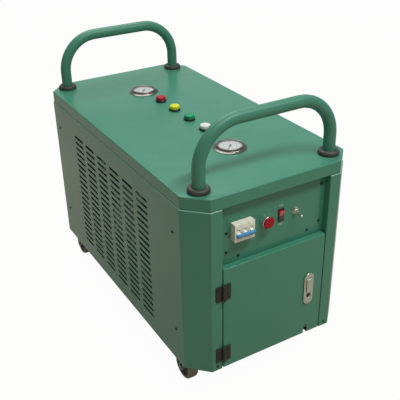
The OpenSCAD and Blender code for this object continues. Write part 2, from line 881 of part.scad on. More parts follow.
// Leaf plate beside the knuckle, on the post (s = -1) or on the door (s = 1)
module leaf(s, z, low, high, bore) {
    gap = 0.6;
    x_in = hinge_x + s*(knuckle_r + gap);
    x_out = hinge_x + s*(leaf_w + 1);
    x_root = hinge_x + s*(hinge_pin_r + 1);
    difference() {
        union() {
            span_box([min(x_in, x_out), y_front - leaf_t, z - hinge_h/2],
                [max(x_in, x_out), y_front, z + hinge_h/2]);
            span_box([min(x_root, x_out), y_front - leaf_t, low], [max(x_root, x_out), y_front - 0.5, high]);
        }
        translate([hinge_x, hinge_y, low - 1]) cylinder(r = bore, h = high - low + 2);
    }
    knuckle(low, high, bore);
}

module door_hinge_leaves() {
    color("#262420") for (z = hinge_list)
        leaf(1, z, z - knuckle_share/2 + loose, z + knuckle_share/2 - loose, hinge_pin_r + run);
}

module post_hinge_leaves() {
    color("#262420") for (z = hinge_list) {
        leaf(-1, z, z - hinge_h/2, z - knuckle_share/2, hinge_pin_r + run);
        leaf(-1, z, z + knuckle_share/2, z + hinge_h/2, hinge_pin_r + run);
    }
}

module hinge_pins() {
    color("#3a3835") for (z = hinge_list)
        translate([hinge_x, hinge_y, z - hinge_h/2 - 0.5]) cylinder(r = hinge_pin_r, h = hinge_h + 1);
}

// Outline of the folding grip, round at its lower end and square at its pin
module grip_outline(room) {
    half = grip_w/2 + room;
    oblong(2*half, grip_h + 2*room);
    translate([-half, 0]) square([2*half, grip_h/2 + room]);
}

// Lock face with a pocket for its grip, the pin the grip turns on, and a housing through the door
module lock_body() {
    pocket = grip_t - 3 + seat;
    color("#9a9a88") difference() {
        union() {
            face_plate(y_front - lock_face, lock_face) translate([lock_x, z_lock]) oblong(lock_w, lock_h);
            face_plate(y_front, lock_back) translate([lock_x, z_lock]) oblong(lock_w - 8, lock_h - 10);
        }
        face_plate(y_front - lock_face - 1, pocket + 1) translate([lock_x, grip_z]) grip_outline(seat);
        bar_y(lock_x, y_front - lock_face - 1, plug_z, plug_r + run, lock_back + lock_face + 2);
    }
    color("#9a9a88") bar_x(lock_x - grip_w/2 - 1, grip_pivot_y, grip_pivot_z, grip_pin_r, grip_w + 2);
}

// Flat grip that lies in the pocket and swings out at its lower end
module lock_grip() {
    back = y_front - lock_face + grip_t - 3;
    color("#a8a894") difference() {
        intersection() {
            face_plate(back - grip_t, grip_t) translate([lock_x, grip_z]) grip_outline(0);
            union() {
                translate([lock_x - grip_w, back - grip_t, grip_z - grip_h/2])
                    cube([2*grip_w, grip_t, grip_h - grip_t/2]);
                bar_x(lock_x - grip_w, back - grip_t/2, grip_pivot_z, grip_t/2, 2*grip_w);
            }
        }
        bar_x(lock_x - grip_w, back - grip_t/2, grip_pivot_z, grip_pin_r + run, 2*grip_w);
    }
}

// Key plug with a slanted key slot
module lock_plug() {
    front = y_front - lock_face + plug_set;
    color("#8d8d7e") difference() {
        bar_y(lock_x, front, plug_z, plug_r, cam_y - front);
        translate([lock_x, front, plug_z]) rotate([0, 35, 0]) cube([1.6, 5, 8], center = true);
    }
}

// Cam behind the door, hanging down in its open place
module lock_cam() {
    color("#75756b") face_plate(cam_y, cam_t) translate([lock_x, plug_z]) {
        circle(9);
        translate([-8, -cam_reach + 8]) square([16, cam_reach - 8]);
        translate([0, -cam_reach + 8]) circle(8);
    }
}

// Fixed top plate of a swivel caster, with its ball race and kingpin
module caster_plate() {
    translate([-plate_w/2, -plate_l/2, caster_h - plate_t]) cube([plate_w, plate_l, plate_t]);
    translate([0, 0, z_race]) cylinder(r1 = race_r - race_taper, r2 = race_r, h = race_h);
    translate([0, 0, z_fork - fork_t - kingpin_lip]) cylinder(r = kingpin_r, h = caster_h - z_fork);
    translate([0, 0, z_fork - fork_t - kingpin_lip])
        cylinder(r = kingpin_r + kingpin_lip, h = kingpin_lip - seat);
}

module caster_plates() {
    color("#5b5a52") for (sx = [-1, 1], sy = [-1, 1])
        translate([sx*caster_x, sy*caster_y, 0]) caster_plate();
}

// Swivel fork with its axle bolt, trailing to the back
module caster_fork() {
    leg_top = z_fork;
    difference() {
        union() {
            translate([0, 0, z_fork]) cylinder(r1 = race_r, r2 = race_r - 2, h = z_race - seat - z_fork);
            translate([-leg_in - fork_t, -race_r + 3, z_fork - fork_t])
                cube([2*(leg_in + fork_t), 2*race_r, fork_t]);
            translate([0, 0, z_fork - fork_t]) cylinder(r = race_r, h = fork_t + 0.1);
            for (s = [0, 1]) mirror([s, 0, 0]) translate([leg_in, 0, 0]) rotate([90, 0, 90])
                linear_extrude(fork_t) {
                    polygon([[-race_r + 3, leg_top], [race_r + 3, leg_top],
                        [trail + leg_end_r, axle_z], [trail - leg_end_r, axle_z - 2]]);
                    translate([trail, axle_z]) circle(leg_end_r);
                }
        }
        translate([0, 0, axle_z]) cylinder(r = kingpin_r + run, h = caster_h);
        bar_x(-leg_in - 2*fork_t, trail, axle_z, axle_r + run, 2*leg_in + 4*fork_t);
    }
    bar_x(-leg_in - fork_t - 5, trail, axle_z, axle_r, 2*leg_in + 2*fork_t + 10);
    for (s = [-1, 1])
        translate([s > 0 ? leg_in + fork_t + loose : -leg_in - fork_t - loose - 4, trail, axle_z])
            rotate([0, 90, 0]) cylinder(r = 7, h = 4, $fn = 6);
}

module front_left_fork() color("#6a685c") translate([-caster_x, -caster_y, 0]) caster_fork();

module front_right_fork() color("#6a685c") translate([caster_x, -caster_y, 0]) caster_fork();

module rear_left_fork() color("#6a685c") translate([-caster_x, caster_y, 0]) caster_fork();

module rear_right_fork() color("#6a685c") translate([caster_x, caster_y, 0]) caster_fork();

// Wheel with a crowned tread, a dished web and a long hub
module caster_wheel(x, y) {
    r = wheel_d/2;
    edge = 4;
    rim = r - 9;
    web_half = 5;
    hub_r = 11;
    half = wheel_w/2;
    translate([x, y + trail, axle_z]) rotate([0, 90, 0]) rotate_extrude() difference() {
        union() {
            translate([rim, -half + edge]) square([r - rim, 2*(half - edge)]);
            translate([rim, -half]) square([r - edge - rim, 2*half]);
            for (s = [-1, 1]) translate([r - edge, s*(half - edge)]) circle(edge);
            translate([hub_r - 1, -web_half]) square([rim - hub_r + 2, 2*web_half]);
            translate([axle_r + run, -hub_half]) square([hub_r - axle_r - run, 2*hub_half]);
        }
        translate([-r, -half - 5]) square([r + axle_r + run, 2*half + 10]);
    }
}

module front_left_wheel() color("#8a8468") caster_wheel(-caster_x, -caster_y);

module front_right_wheel() color("#8a8468") caster_wheel(caster_x, -caster_y);

module rear_left_wheel() color("#8a8468") caster_wheel(-caster_x, caster_y);

module rear_right_wheel() color("#8a8468") caster_wheel(caster_x, caster_y);

// Welded compressor shell on a foot plate, with a terminal box and two pipe stubs
module compressor() {
    dome = 40;
    foot = 2*mount_span + 30;
    color("#2b2d2f") translate([comp_x, comp_y, comp_base]) {
        difference() {
            translate([-foot/2, -foot/2, 0]) cube([foot, foot, foot_t]);
            for (sx = [-1, 1], sy = [-1, 1])
                translate([sx*mount_span, sy*mount_span, -1]) cylinder(r = 7 + loose, h = foot_t + 2);
        }
        translate([0, 0, foot_t]) rotate_extrude() {
            square([comp_r - dome, comp_h]);
            square([comp_r, comp_h - dome]);
            intersection() {
                translate([comp_r - dome, comp_h - dome]) circle(dome);
                square([comp_r, comp_h]);
            }
            translate([0, comp_h*0.45]) square([comp_r + 2.5, 6]);
        }
        translate([-term_w/2, -comp_r - term_out, term_up]) cube([term_w, term_d, term_h]);
        for (s = [-1, 1]) translate([s*comp_stub, 0, comp_h - 30]) cylinder(r = stub_r, h = foot_t + 30);
    }
}

module compressor_mounts() {
    color("#202020") for (sx = [-1, 1], sy = [-1, 1])
        translate([comp_x + sx*mount_span, comp_y + sy*mount_span, z_floor]) {
            cylinder(r = 14, h = mount_h);
            cylinder(r = 7, h = mount_h + foot_t + 3);
            translate([0, 0, mount_h + foot_t + loose]) cylinder(r = 11, h = 4);
        }
}

// Finned coil between two tube sheets that stand on the tray, with return bends at both ends
module condenser_coil() {
    rows = 6;
    pitch = coil_h/rows;
    fin_gaps = 11;
    gap_pitch = 2*coil_half/(fin_gaps + 1);
    z_coil = z_low + coil_low;
    color("#9aa2a4") translate([0, coil_y, 0]) {
        difference() {
            span_box([coil_left, -coil_half, z_coil], [coil_left + coil_t, coil_half, z_coil + coil_h]);
            for (i = [1:fin_gaps])
                translate([coil_left - 1, -coil_half + i*gap_pitch - 1, z_coil - 1])
                    cube([13, 2, coil_h + 2]);
        }
        for (s = [-1, 1])
            span_box([coil_left, s > 0 ? coil_half - 1 : -coil_half - end_plate, z_floor],
                [coil_left + coil_t, s > 0 ? coil_half + end_plate : -coil_half + 1, z_coil + coil_h]);
        for (s = [0, 1], i = [0:rows - 2]) mirror([0, s, 0])
            translate([coil_x + 8, coil_half + end_plate, z_coil + pitch*(i + 1)])
                rotate([0, 90, 0]) rotate_extrude(angle = 180) translate([pitch/2 - 8, 0]) circle(5);
    }
}

// Plate in front of the coil with a round mouth and a short ring
module fan_shroud() {
    z_coil = z_low + coil_low;
    mouth = fan_r + fan_gap;
    x = coil_left - shroud_t - loose;
    color("#4c5250") translate([0, coil_y, 0]) difference() {
        union() {
            span_box([x, -coil_half, z_floor], [x + shroud_t, coil_half, z_coil + coil_h]);
            bar_x(x - shroud_depth, 0, z_fan, mouth + shroud_lip, shroud_depth + 0.1);
        }
        bar_x(x - shroud_depth - 1, 0, z_fan, mouth, shroud_depth + shroud_t + 2);
    }
}

// Motor on four arms that reach the shroud's plate
module fan_motor() {
    x_plate = coil_left - shroud_t - loose;
    arm_w = 16;
    arm_t = 3;
    reach = fan_r + 18;
    x_arm = motor_x - motor_len + 12;
    color("#7f8fa0") translate([0, coil_y, z_fan]) {
        bar_x(motor_x - motor_len, 0, 0, motor_r - 4, 6);
        bar_x(motor_x - motor_len + 4, 0, 0, motor_r, motor_len - 10);
        bar_x(motor_x - 7, 0, 0, motor_r - 8, 7);
        bar_x(motor_x - 1, 0, 0, shaft_r, fan_x - motor_x + 16);
        for (a = [45:90:315]) rotate([a, 0, 0]) {
            translate([x_arm, motor_r - 6, -arm_w/2]) cube([arm_t, reach - motor_r + 6, arm_w]);
            translate([x_arm, reach - arm_t, -arm_w/2]) cube([x_plate - x_arm - loose, arm_t, arm_w]);
        }
    }
}

// Pressed blades on a hub
module fan_blades() {
    pitch_angle = 24;
    blade_t = 1.6;
    root = fan_hub_r - 3;
    color("#a9b0b0") translate([fan_x, coil_y, z_fan]) difference() {
        union() {
            bar_x(-fan_hub_len/2, 0, 0, fan_hub_r, fan_hub_len);
            for (i = [0:blade_count - 1]) rotate([i*360/blade_count, 0, 0])
                rotate([0, pitch_angle, 0]) rotate([90, 0, 90]) translate([0, 0, -blade_t/2])
                    linear_extrude(blade_t) intersection() {
                        polygon([[root, -blade_root/2], [fan_r, -blade_tip/2 - blade_lead],
                            [fan_r, blade_tip/2 - blade_lead], [root, blade_root/2]]);
                        circle(fan_r - fan_gap);
                    }
        }
        bar_x(-fan_hub_len, 0, 0, shaft_r + run, 2*fan_hub_len);
    }
}

module oil_separator() {
    foot = 2*sep_r + 16;
    dome = 24;
    color("#3a4448") translate([sep_x, sep_y, z_floor]) {
        translate([-foot/2, -foot/2, 0]) cube([foot, foot, 3]);
        translate([0, 0, 3]) rotate_extrude() {
            square([sep_r - dome, sep_h]);
            square([sep_r, sep_h - dome]);
            intersection() {
                translate([sep_r - dome, sep_h - dome]) circle(dome);
                square([sep_r, sep_h]);
            }
        }
        for (x = [0, -sep_outlet]) translate([x, 0, sep_h - 10]) cylinder(r = stub_r, h = 10 + sep_stub);
    }
}

// In-line filter with cone ends and two nuts, on the suction pipe
module filter_drier() {
    half = drier_len/2;
    cone = 18;
    color("#2f6f9a") translate([valve_x, drier_y, z_pipe]) rotate([-90, 0, 0]) {
        rotate_extrude() polygon([[0, -half], [drier_nut_r, -half], [drier_r, -half + cone],
            [drier_r, half - cone], [drier_nut_r, half], [0, half]]);
        for (s = [-1, 1]) translate([0, 0, s > 0 ? half - 0.5 : -half - drier_nut])
            cylinder(r = drier_nut_r, h = drier_nut + 0.5, $fn = 6);
    }
}

// Ball valve through the bay's back wall: flare port to the front, hex body, stem and rear stub
module service_valve() {
    neck = valve_rim + valve_hex - 2;
    port = neck + valve_neck;
    rotate([90, 0, 0]) translate([0, 0, -bay_back]) {
        translate([0, 0, valve_rim]) cylinder(r = 13, h = valve_hex, $fn = 6);
        cylinder(r = 12, h = valve_rim + 0.1);
        translate([0, 0, neck]) cylinder(r = 8, h = valve_neck + 0.1);
        translate([0, 0, port]) cylinder(r = port_r, h = port_len);
        translate([0, 0, port + port_len]) cylinder(r1 = port_r, r2 = 3.2, h = port_lead);
        translate([0, 0, -valve_stub]) cylinder(r = valve_stub_r, h = valve_stub + valve_rim);
    }
    translate([0, stem_y, 0]) cylinder(r = 2*stem_r, h = stem_seat);
    translate([0, stem_y, 0]) cylinder(r = stem_r, h = stem_top);
}

module service_valves() color("#b08d4a") for (s = [-1, 1]) translate([s*valve_x, 0, z_valve]) service_valve();

// Lever on a valve stem, pointing along the pipe when the valve is open
module valve_lever() {
    translate([0, stem_y, stem_seat + seat]) linear_extrude(lever_t) difference() {
        union() {
            circle(3*stem_r);
            translate([-lever_half, -lever_long]) square([2*lever_half, lever_long]);
            translate([0, -lever_long]) circle(lever_half);
        }
        circle(stem_r + run);
    }
}

module suction_valve_lever() color("#2a5fb0") translate([valve_x, 0, z_valve]) valve_lever();

module discharge_valve_lever() color("#b02a2a") translate([-valve_x, 0, z_valve]) valve_lever();

// Closed case of contactors on the inside of the rear panel
module electrical_box() {
    y_back = cab_d/2 - 2*sheet - loose/2 - loose;
    z_box = z_low + box_low;
    color("#b4b8b2") {
        span_box([-box_half, y_back - box_deep, z_box], [box_half, y_back, z_box + box_h]);
        for (i = [-1, 0, 1]) translate([i*gland_pitch, y_back - box_deep/2, z_box - gland_len])
            cylinder(r = gland_r, h = gland_len + 1);
    }
}

// Round tube through a list of points, with a ball at each bend
module tube_run(points) {
    for (i = [0:len(points) - 2]) {
        step = points[i + 1] - points[i];
        long = norm(step);
        translate(points[i]) rotate([0, acos(step[2]/long), atan2(step[1], step[0])])
            cylinder(d = pipe_d, h = long);
    }
    for (i = [1:1:len(points) - 2]) translate(points[i]) sphere(d = pipe_d);
}

module refrigerant_pipes() {
    nut = drier_len/2 + drier_nut;
    rear = bay_back + valve_stub;
    sep_top = z_floor + sep_h + sep_stub;
    out_x = sep_x - sep_outlet;
    in_y = coil_rear - coil_inlet;
    z_out = z_low + coil_outlet;
    color("#b5713a") {
        tube_run([[valve_x, rear, z_valve], [valve_x, elbow_y, z_valve], [valve_x, elbow_y, z_pipe],
            [valve_x, drier_y - nut, z_pipe]]);
        tube_run([[valve_x, drier_y + nut, z_pipe], [valve_x, comp_y, z_pipe], [valve_x, comp_y, comp_top]]);
        tube_run([[comp_x + comp_stub, comp_y, comp_top], [comp_x + comp_stub, comp_y, z_discharge],
            [comp_x + comp_stub, sep_y, z_discharge], [sep_x, sep_y, z_discharge], [sep_x, sep_y, sep_top]]);
        tube_run([[out_x, sep_y, sep_top], [out_x, sep_y, z_hot], [out_x, in_y, z_hot],
            [coil_x, in_y, z_hot], [coil_x, in_y, coil_top]]);
        tube_run([[-valve_x, coil_front - end_plate, z_out], [-valve_x, elbow_y, z_out],
            [-valve_x, elbow_y, z_valve], [-valve_x, rear, z_valve]]);
    }
}

base_tray();
left_side_panel();
right_side_panel();
rear_panel();
top_lid();
control_panel();
bay_liner();
frame_uprights();
front_handle();
rear_handle();
handle_collars();
gauge_cases();
gauge_dials();
gauge_lenses();
front_gauge_pointer();
rear_gauge_pointer();
lamp_bases();
red_lamp_lens();
yellow_lamp_lens();
green_lamp_lens();
white_lamp_lens();
breaker_body();
breaker_lever();
button_bezel();
push_button();
rocker_frame();
rocker_paddle();
toggle_bushing();
toggle_lever();
panel_screws();
front_door();
door_hinge_leaves();
post_hinge_leaves();
hinge_pins();
lock_body();
lock_grip();
lock_plug();
lock_cam();
caster_plates();
front_left_fork();
front_right_fork();
rear_left_fork();
rear_right_fork();
front_left_wheel();
front_right_wheel();
rear_left_wheel();
rear_right_wheel();
compressor();
compressor_mounts();
condenser_coil();
fan_shroud();
fan_motor();
fan_blades();
oil_separator();
filter_drier();
service_valves();
suction_valve_lever();
discharge_valve_lever();
electrical_box();
refrigerant_pipes();
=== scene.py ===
from math import atan2, cos, pi, radians, sin, sqrt, tan

import bmesh
import bpy
from mathutils import Matrix, Vector


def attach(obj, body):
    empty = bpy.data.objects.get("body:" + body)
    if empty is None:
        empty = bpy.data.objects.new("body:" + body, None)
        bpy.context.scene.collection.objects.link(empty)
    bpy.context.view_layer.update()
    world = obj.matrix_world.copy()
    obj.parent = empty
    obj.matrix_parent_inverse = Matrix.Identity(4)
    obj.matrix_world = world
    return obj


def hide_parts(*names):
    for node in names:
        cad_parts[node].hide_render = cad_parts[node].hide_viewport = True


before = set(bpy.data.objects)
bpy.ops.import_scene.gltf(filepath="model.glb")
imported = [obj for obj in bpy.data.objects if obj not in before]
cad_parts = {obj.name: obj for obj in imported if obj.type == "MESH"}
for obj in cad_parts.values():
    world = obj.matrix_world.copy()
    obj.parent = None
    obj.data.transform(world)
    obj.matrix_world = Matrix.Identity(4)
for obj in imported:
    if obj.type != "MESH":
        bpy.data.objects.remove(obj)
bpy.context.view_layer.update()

# Studio: the camera stands in front of the machine's left corner, at chest height, and looks down on it.
# Floor and surroundings are pale and plain, and lamps light the machine from the front, above and behind.
scene = bpy.context.scene
scene.view_settings.view_transform = "Standard"

camera_place, focal, sensor, far_clip = (-0.825124, -1.507863, 1.272771), 61.09, 36.0, 60.0
azimuth, elevation, roll = radians(-30.1024), radians(28.9653), radians(-1.0566)
towards = Vector((sin(azimuth) * cos(elevation), -cos(azimuth) * cos(elevation), sin(elevation)))
level_right = Vector((0, 0, 1)).cross(towards).normalized()
level_up = towards.cross(level_right)
right = cos(roll) * level_right + sin(roll) * level_up
up = -sin(roll) * level_right + cos(roll) * level_up


def stand(name, data):
    """A new object in the scene."""
    made = bpy.data.objects.new(name, data)
    scene.collection.objects.link(made)
    return made


scene.camera = stand("camera", bpy.data.cameras.new("camera"))
scene.camera.data.lens = focal
scene.camera.data.sensor_width = sensor
scene.camera.data.clip_end = far_clip
turn = Matrix((right, up, towards)).transposed().to_4x4()
scene.camera.matrix_world = Matrix.Translation(camera_place) @ turn


def shader_node(tree, kind, **values):
    """A shader node with some of its inputs set. Names with a leading s_ are settings of the node itself."""
    made = tree.nodes.new("ShaderNode" + kind)
    for label, value in values.items():
        if label.startswith("s_"):
            setattr(made, label[2:], value)
        else:
            made.inputs[label.replace("_", " ")].default_value = value
    return made


def wire(tree, *links):
    """Joins outputs of shader nodes to inputs of others, each link as (node, output, node, input)."""
    for a, out, b, into in links:
        tree.links.new(a.outputs[out], b.inputs[into])


def times(tree, source, out, factor):
    """A shader node that multiplies an output of another node by a number."""
    made = shader_node(tree, "Math", s_operation="MULTIPLY")
    made.inputs[1].default_value = factor
    wire(tree, (source, out, made, 0))
    return made


mirrored_white = 0.2


def seen_white(owner, output, plain, most, own, **values):
    """Gives the world or a material a shader, but plain white to rays from the camera and through glass,
    and a share of the white to rays from a reflection."""
    owner.use_nodes = True
    tree = owner.node_tree
    tree.nodes.clear()
    path = shader_node(tree, "LightPath")
    white = times(tree, path, "Is Glossy Ray", mirrored_white)
    for ray in ("Is Transmission Ray", "Is Camera Ray"):
        either = shader_node(tree, "Math", s_operation="MAXIMUM")
        wire(tree, (path, ray, either, 0), (white, 0, either, 1))
        white = either
    mix = shader_node(tree, "MixShader")
    wire(tree, (times(tree, white, 0, most), 0, mix, "Fac"), (shader_node(tree, own, **values), 0, mix, 1),
         (shader_node(tree, plain, Color=(1, 1, 1, 1)), 0, mix, 2),
         (mix, 0, shader_node(tree, output), "Surface"))


scene.world = bpy.data.worlds.new("studio")
seen_white(scene.world, "OutputWorld", "Background", 1.0, "Background", Color=(0.86, 0.86, 0.84, 1),
           Strength=0.29)

floor_reach, floor_white = 9, 0.97
square = [(-1, -1), (1, -1), (1, 1), (-1, 1)]
floor_mesh = bpy.data.meshes.new("floor")
floor_mesh.from_pydata([(floor_reach * x, floor_reach * y, 0) for x, y in square], [], [(0, 1, 2, 3)])
floor_paint = bpy.data.materials.new("studio_floor")
seen_white(floor_paint, "OutputMaterial", "Emission", floor_white, "BsdfDiffuse", Color=(0.6, 0.49, 0.375, 1))
floor_mesh.materials.append(floor_paint)
floor = stand("floor", floor_mesh)


def soft_lamp(name, place, aim, width, height, watts, tint):
    """A flat lamp of that size in metres, turned to a point."""
    data = bpy.data.lights.new(name, "AREA")
    data.shape = "RECTANGLE"
    data.size = width
    data.size_y = height
    data.energy = watts
    data.color = tint
    lamp = stand(name, data)
    lamp.location = place
    lamp.rotation_euler = (Vector(aim) - Vector(place)).to_track_quat("-Z", "Y").to_euler()


soft_lamp("key_lamp", (0.5, -1.65, 3.2), (0.1, -0.25, 0.55), 2.2, 0.2, 71, (0.95, 0.99, 0.96))
soft_lamp("top_lamp", (0.3, 1.3, 2.8), (0, 0.25, 0.5), 1.8, 1.8, 40, (0.95, 1.0, 0.99))
soft_lamp("back_card", (1.0, 2.6, 1.05), (0, 0, 0.7), 2.8, 0.9, 2, (1.0, 1.0, 1.0))

# Swivel casters: zinc-plated steel plates bolted under the floor, each with a ball race and a kingpin.
# Each fork is pressed from one blank and carries a moulded wheel on a bolt through both its legs.
caster_x, caster_y, axle_z, trail = 185, 350, 37.5, 30
plate_w, plate_d, plate_low, plate_top = 76, 80, 97, 100
bolt_across, bolt_along = 29, 31
leg_gap, leg_wall, leg_end = 15.5, 3, 11
corners = {"front_left": (-caster_x, -caster_y), "front_right": (caster_x, -caster_y),
           "rear_left": (-caster_x, caster_y), "rear_right": (caster_x, caster_y)}

# bench: the one mesh, in millimetres, on which each piece is put together
bench = bmesh.new()


def put(rows, place=None, ring=False, ends=()):
    """Adds closed rows of points to the bench and joins each row to the next. Returns the rows of vertices.
    The rows whose numbers are given as ends are closed with a face."""
    place = place or Matrix.Identity(4)
    made = [[bench.verts.new(place @ Vector(p)) for p in row] for row in rows]
    for low, high in zip(made, made[1:] + made[:1] if ring else made[1:]):
        for i in range(len(low)):
            bench.faces.new((low[i - 1], low[i], high[i], high[i - 1]))
    for end in ends:
        bench.faces.new(made[end])
    return made


def arc(r, first, last, steps, x=0, y=0):
    """Points on part of a circle about a point, from one angle to another."""
    turns = [first + (last - first) * k / steps for k in range(steps + 1)]
    return [(x + r * cos(t), y + r * sin(t)) for t in turns]


def circle_line(r, x=0, y=0, steps=32):
    """A circle about a point."""
    return arc(r, 0, 2 * pi, steps, x, y)[:-1]


def hexagon(r, x=0, y=0):
    """A hexagon about a point, r from its middle to each corner."""
    return circle_line(r, x, y, 6)


def oblong_line(w, h, x=0, y=0, steps=12):
    """An upright oblong with round ends about a point."""
    rise = h / 2 - w / 2
    return arc(w / 2, 0, pi, steps, x, y + rise) + arc(w / 2, pi, 2 * pi, steps, x, y - rise)


def box_line(w, h, x=0, y=0):
    """A rectangle about a point."""
    return [(x + sx * w / 2, y + sy * h / 2) for sx, sy in square]


def spun(points, turn):
    """Flat points turned about the origin."""
    return [(x * cos(turn) - y * sin(turn), x * sin(turn) + y * cos(turn)) for x, y in points]


def both_sides(half):
    """A turned profile given above its middle as (radius, height) pairs, and repeated below it."""
    return [(r, -h) for r, h in half] + [(r, h) for r, h in half[::-1] if h]


def turned(profile, place=None, steps=48, ring=False):
    """A shape turned about the local Z axis from (radius, height) pairs. A ring closes on its first pair."""
    place = place or Matrix.Identity(4)
    circles = [[(x, y, h) for x, y in circle_line(r, steps=steps)] for r, h in profile if r > 0]
    rows = put(circles, place, ring)
    if ring:
        return
    for (r, h), row in ((profile[0], rows[0]), (profile[-1], rows[-1])):
        if r > 0:
            bench.faces.new(row)
        else:
            tip = bench.verts.new(place @ Vector((0, 0, h)))
            for i in range(steps):
                bench.faces.new((row[i - 1], row[i], tip))


def eased(points, radius, steps=4, closed=True):
    """A line of flat points with its corners rounded off. A point's third number is that corner's radius."""
    made = []
    for i, p in enumerate(points):
        r = p[2] if len(p) > 2 else radius
        here = Vector(p[:2])
        if r <= 0 or (not closed and i in (0, len(points) - 1)):
            made.append((here.x, here.y))
            continue
        a = (Vector(points[i - 1][:2]) - here).normalized()
        b = (Vector(points[(i + 1) % len(points)][:2]) - here).normalized()
        half = a.angle(b) / 2
        centre = here + (a + b).normalized() * (r / sin(half))
        start, end = here + a * (r / tan(half)) - centre, here + b * (r / tan(half)) - centre
        first = atan2(start.y, start.x)
        sweep = (atan2(end.y, end.x) - first + pi) % (2 * pi) - pi
        made += arc(r, first, first + sweep, steps, centre.x, centre.y)
    return made


def inset(loop, amount):
    """A closed loop moved to its left-hand side, with mitred corners, cut short where they are sharp."""
    made = []
    for i, p in enumerate(loop):
        u = (Vector(p) - Vector(loop[i - 1])).normalized()
        v = (Vector(loop[(i + 1) % len(loop)]) - Vector(p)).normalized()
        left = Vector((-u.y - v.y, u.x + v.x))
        left = left * (amount * 2 / max(left.length_squared, 0.4))
        made.append((p[0] + left.x, p[1] + left.y))
    return made


def fill(rings):
    """Closes flat rings of vertices with one face set, the first ring outside and the others as holes."""
    pairs = [(ring[i - 1], ring[i]) for ring in rings for i in range(len(ring))]
    rims = [bench.edges.get(pair) or bench.edges.new(pair) for pair in pairs]
    bmesh.ops.triangle_fill(bench, use_beauty=True, use_dissolve=False, edges=rims)


def slab(outline, low, high, edge=0.5, steps=2, holes=(), place=None, hole_edge=None):
    """A plate between two levels from a counter-clockwise outline, with holes and rounded rims."""
    turns = [pi / 2 * k / steps for k in range(steps + 1)]
    caps = [], []
    for loop, way in [(outline, edge)] + [(hole, -(hole_edge or edge)) for hole in holes]:
        r = abs(way)
        rows = [[(x, y, low + r * (1 - cos(t))) for x, y in inset(loop, way * (1 - sin(t)))] for t in turns]
        rows += [[(x, y, high - r * (1 - sin(t))) for x, y in inset(loop, way * (1 - cos(t)))] for t in turns]
        made = put(rows, place)
        caps[0].append(made[0])
        caps[1].append(made[-1])
    for rings in caps:
        fill(rings)


def at(x=0, y=0, z=0, facing="up", spin=0):
    """A place for a piece whose local Z axis faces up, front (-Y), back (+Y), right (+X) or left (-X)."""
    turns = {"up": ((1, 0, 0), (0, 1, 0), (0, 0, 1)), "front": ((1, 0, 0), (0, 0, -1), (0, 1, 0)),
             "back": ((-1, 0, 0), (0, 0, 1), (0, 1, 0)), "right": ((0, 0, 1), (1, 0, 0), (0, 1, 0)),
             "left": ((0, 0, -1), (-1, 0, 0), (0, 1, 0))}
    turn = Matrix(turns[facing]).to_4x4() @ Matrix.Rotation(radians(spin), 4, "Z")
    return Matrix.Translation((x, y, z)) @ turn


def face_outwards():
    """Turns the faces of each separate shell on the bench to its outer side."""
    bmesh.ops.recalc_face_normals(bench, faces=bench.faces)
    left = set(bench.faces)
    while left:
        shell = [left.pop()]
        for face in shell:
            near = {other for edge in face.edges for other in edge.link_faces} & left
            left -= near
            shell.extend(near)
        spots = [face.calc_center_median() for face in shell]
        middle = sum(spots, Vector()) / len(shell)
        if sum((p - middle).dot(face.normal) * face.calc_area() for p, face in zip(spots, shell)) < 0:
            bmesh.ops.reverse_faces(bench, faces=shell)


def piece(name, look, body, slot, *nodes, crease=35, sheet=0):
    """Makes what is on the bench into a piece in metres that rides on a body and stands for CAD nodes.
    An open skin gets the thickness of its sheet inwards. The bench is left empty."""
    face_outwards()
    bmesh.ops.scale(bench, vec=(0.001, 0.001, 0.001), verts=bench.verts)
    mesh = bpy.data.meshes.new(name)
    bench.to_mesh(mesh)
    bench.clear()
    mesh.shade_smooth()
    mesh.set_sharp_from_angle(angle=radians(crease))
    mesh.materials.append(look)
    made = stand(name, mesh)
    if sheet:
        wall = made.modifiers.new("sheet", "SOLIDIFY")
        wall.thickness = sheet / 1000
        wall.offset = -1
        wall.use_even_offset = True
        made.data = bpy.data.meshes.new_from_object(made.evaluated_get(bpy.context.evaluated_depsgraph_get()))
        made.data.set_sharp_from_angle(angle=radians(crease))
        made.modifiers.remove(wall)
    flats = made.modifiers.new("flat_faces", "WEIGHTED_NORMAL")
    flats.keep_sharp = True
    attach(made, body)
    if nodes:
        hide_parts(*nodes)
    return made


def shader_group(name, inputs, outputs):
    """An empty group of shader nodes with number inputs and number outputs."""
    group = bpy.data.node_groups.new(name, "ShaderNodeTree")
    for label, value in inputs.items():
        group.interface.new_socket(label, in_out="INPUT", socket_type="NodeSocketFloat").default_value = value
    for label in outputs:
        group.interface.new_socket(label, in_out="OUTPUT", socket_type="NodeSocketFloat")
    return group, group.nodes.new("NodeGroupInput"), group.nodes.new("NodeGroupOutput")


def noise_level(group, source, label, low, high, **values):
    """Noise over a piece, at a scale that an input of the group gives, spread between two levels."""
    spot = shader_node(group, "TexCoord")
    noise = shader_node(group, "TexNoise", **values)
    level = shader_node(group, "MapRange", From_Min=low, From_Max=high)
    wire(group, (spot, "Object", noise, "Vector"), (source, label, noise, "Scale"),
         (noise, 0, level, "Value"))
    return level


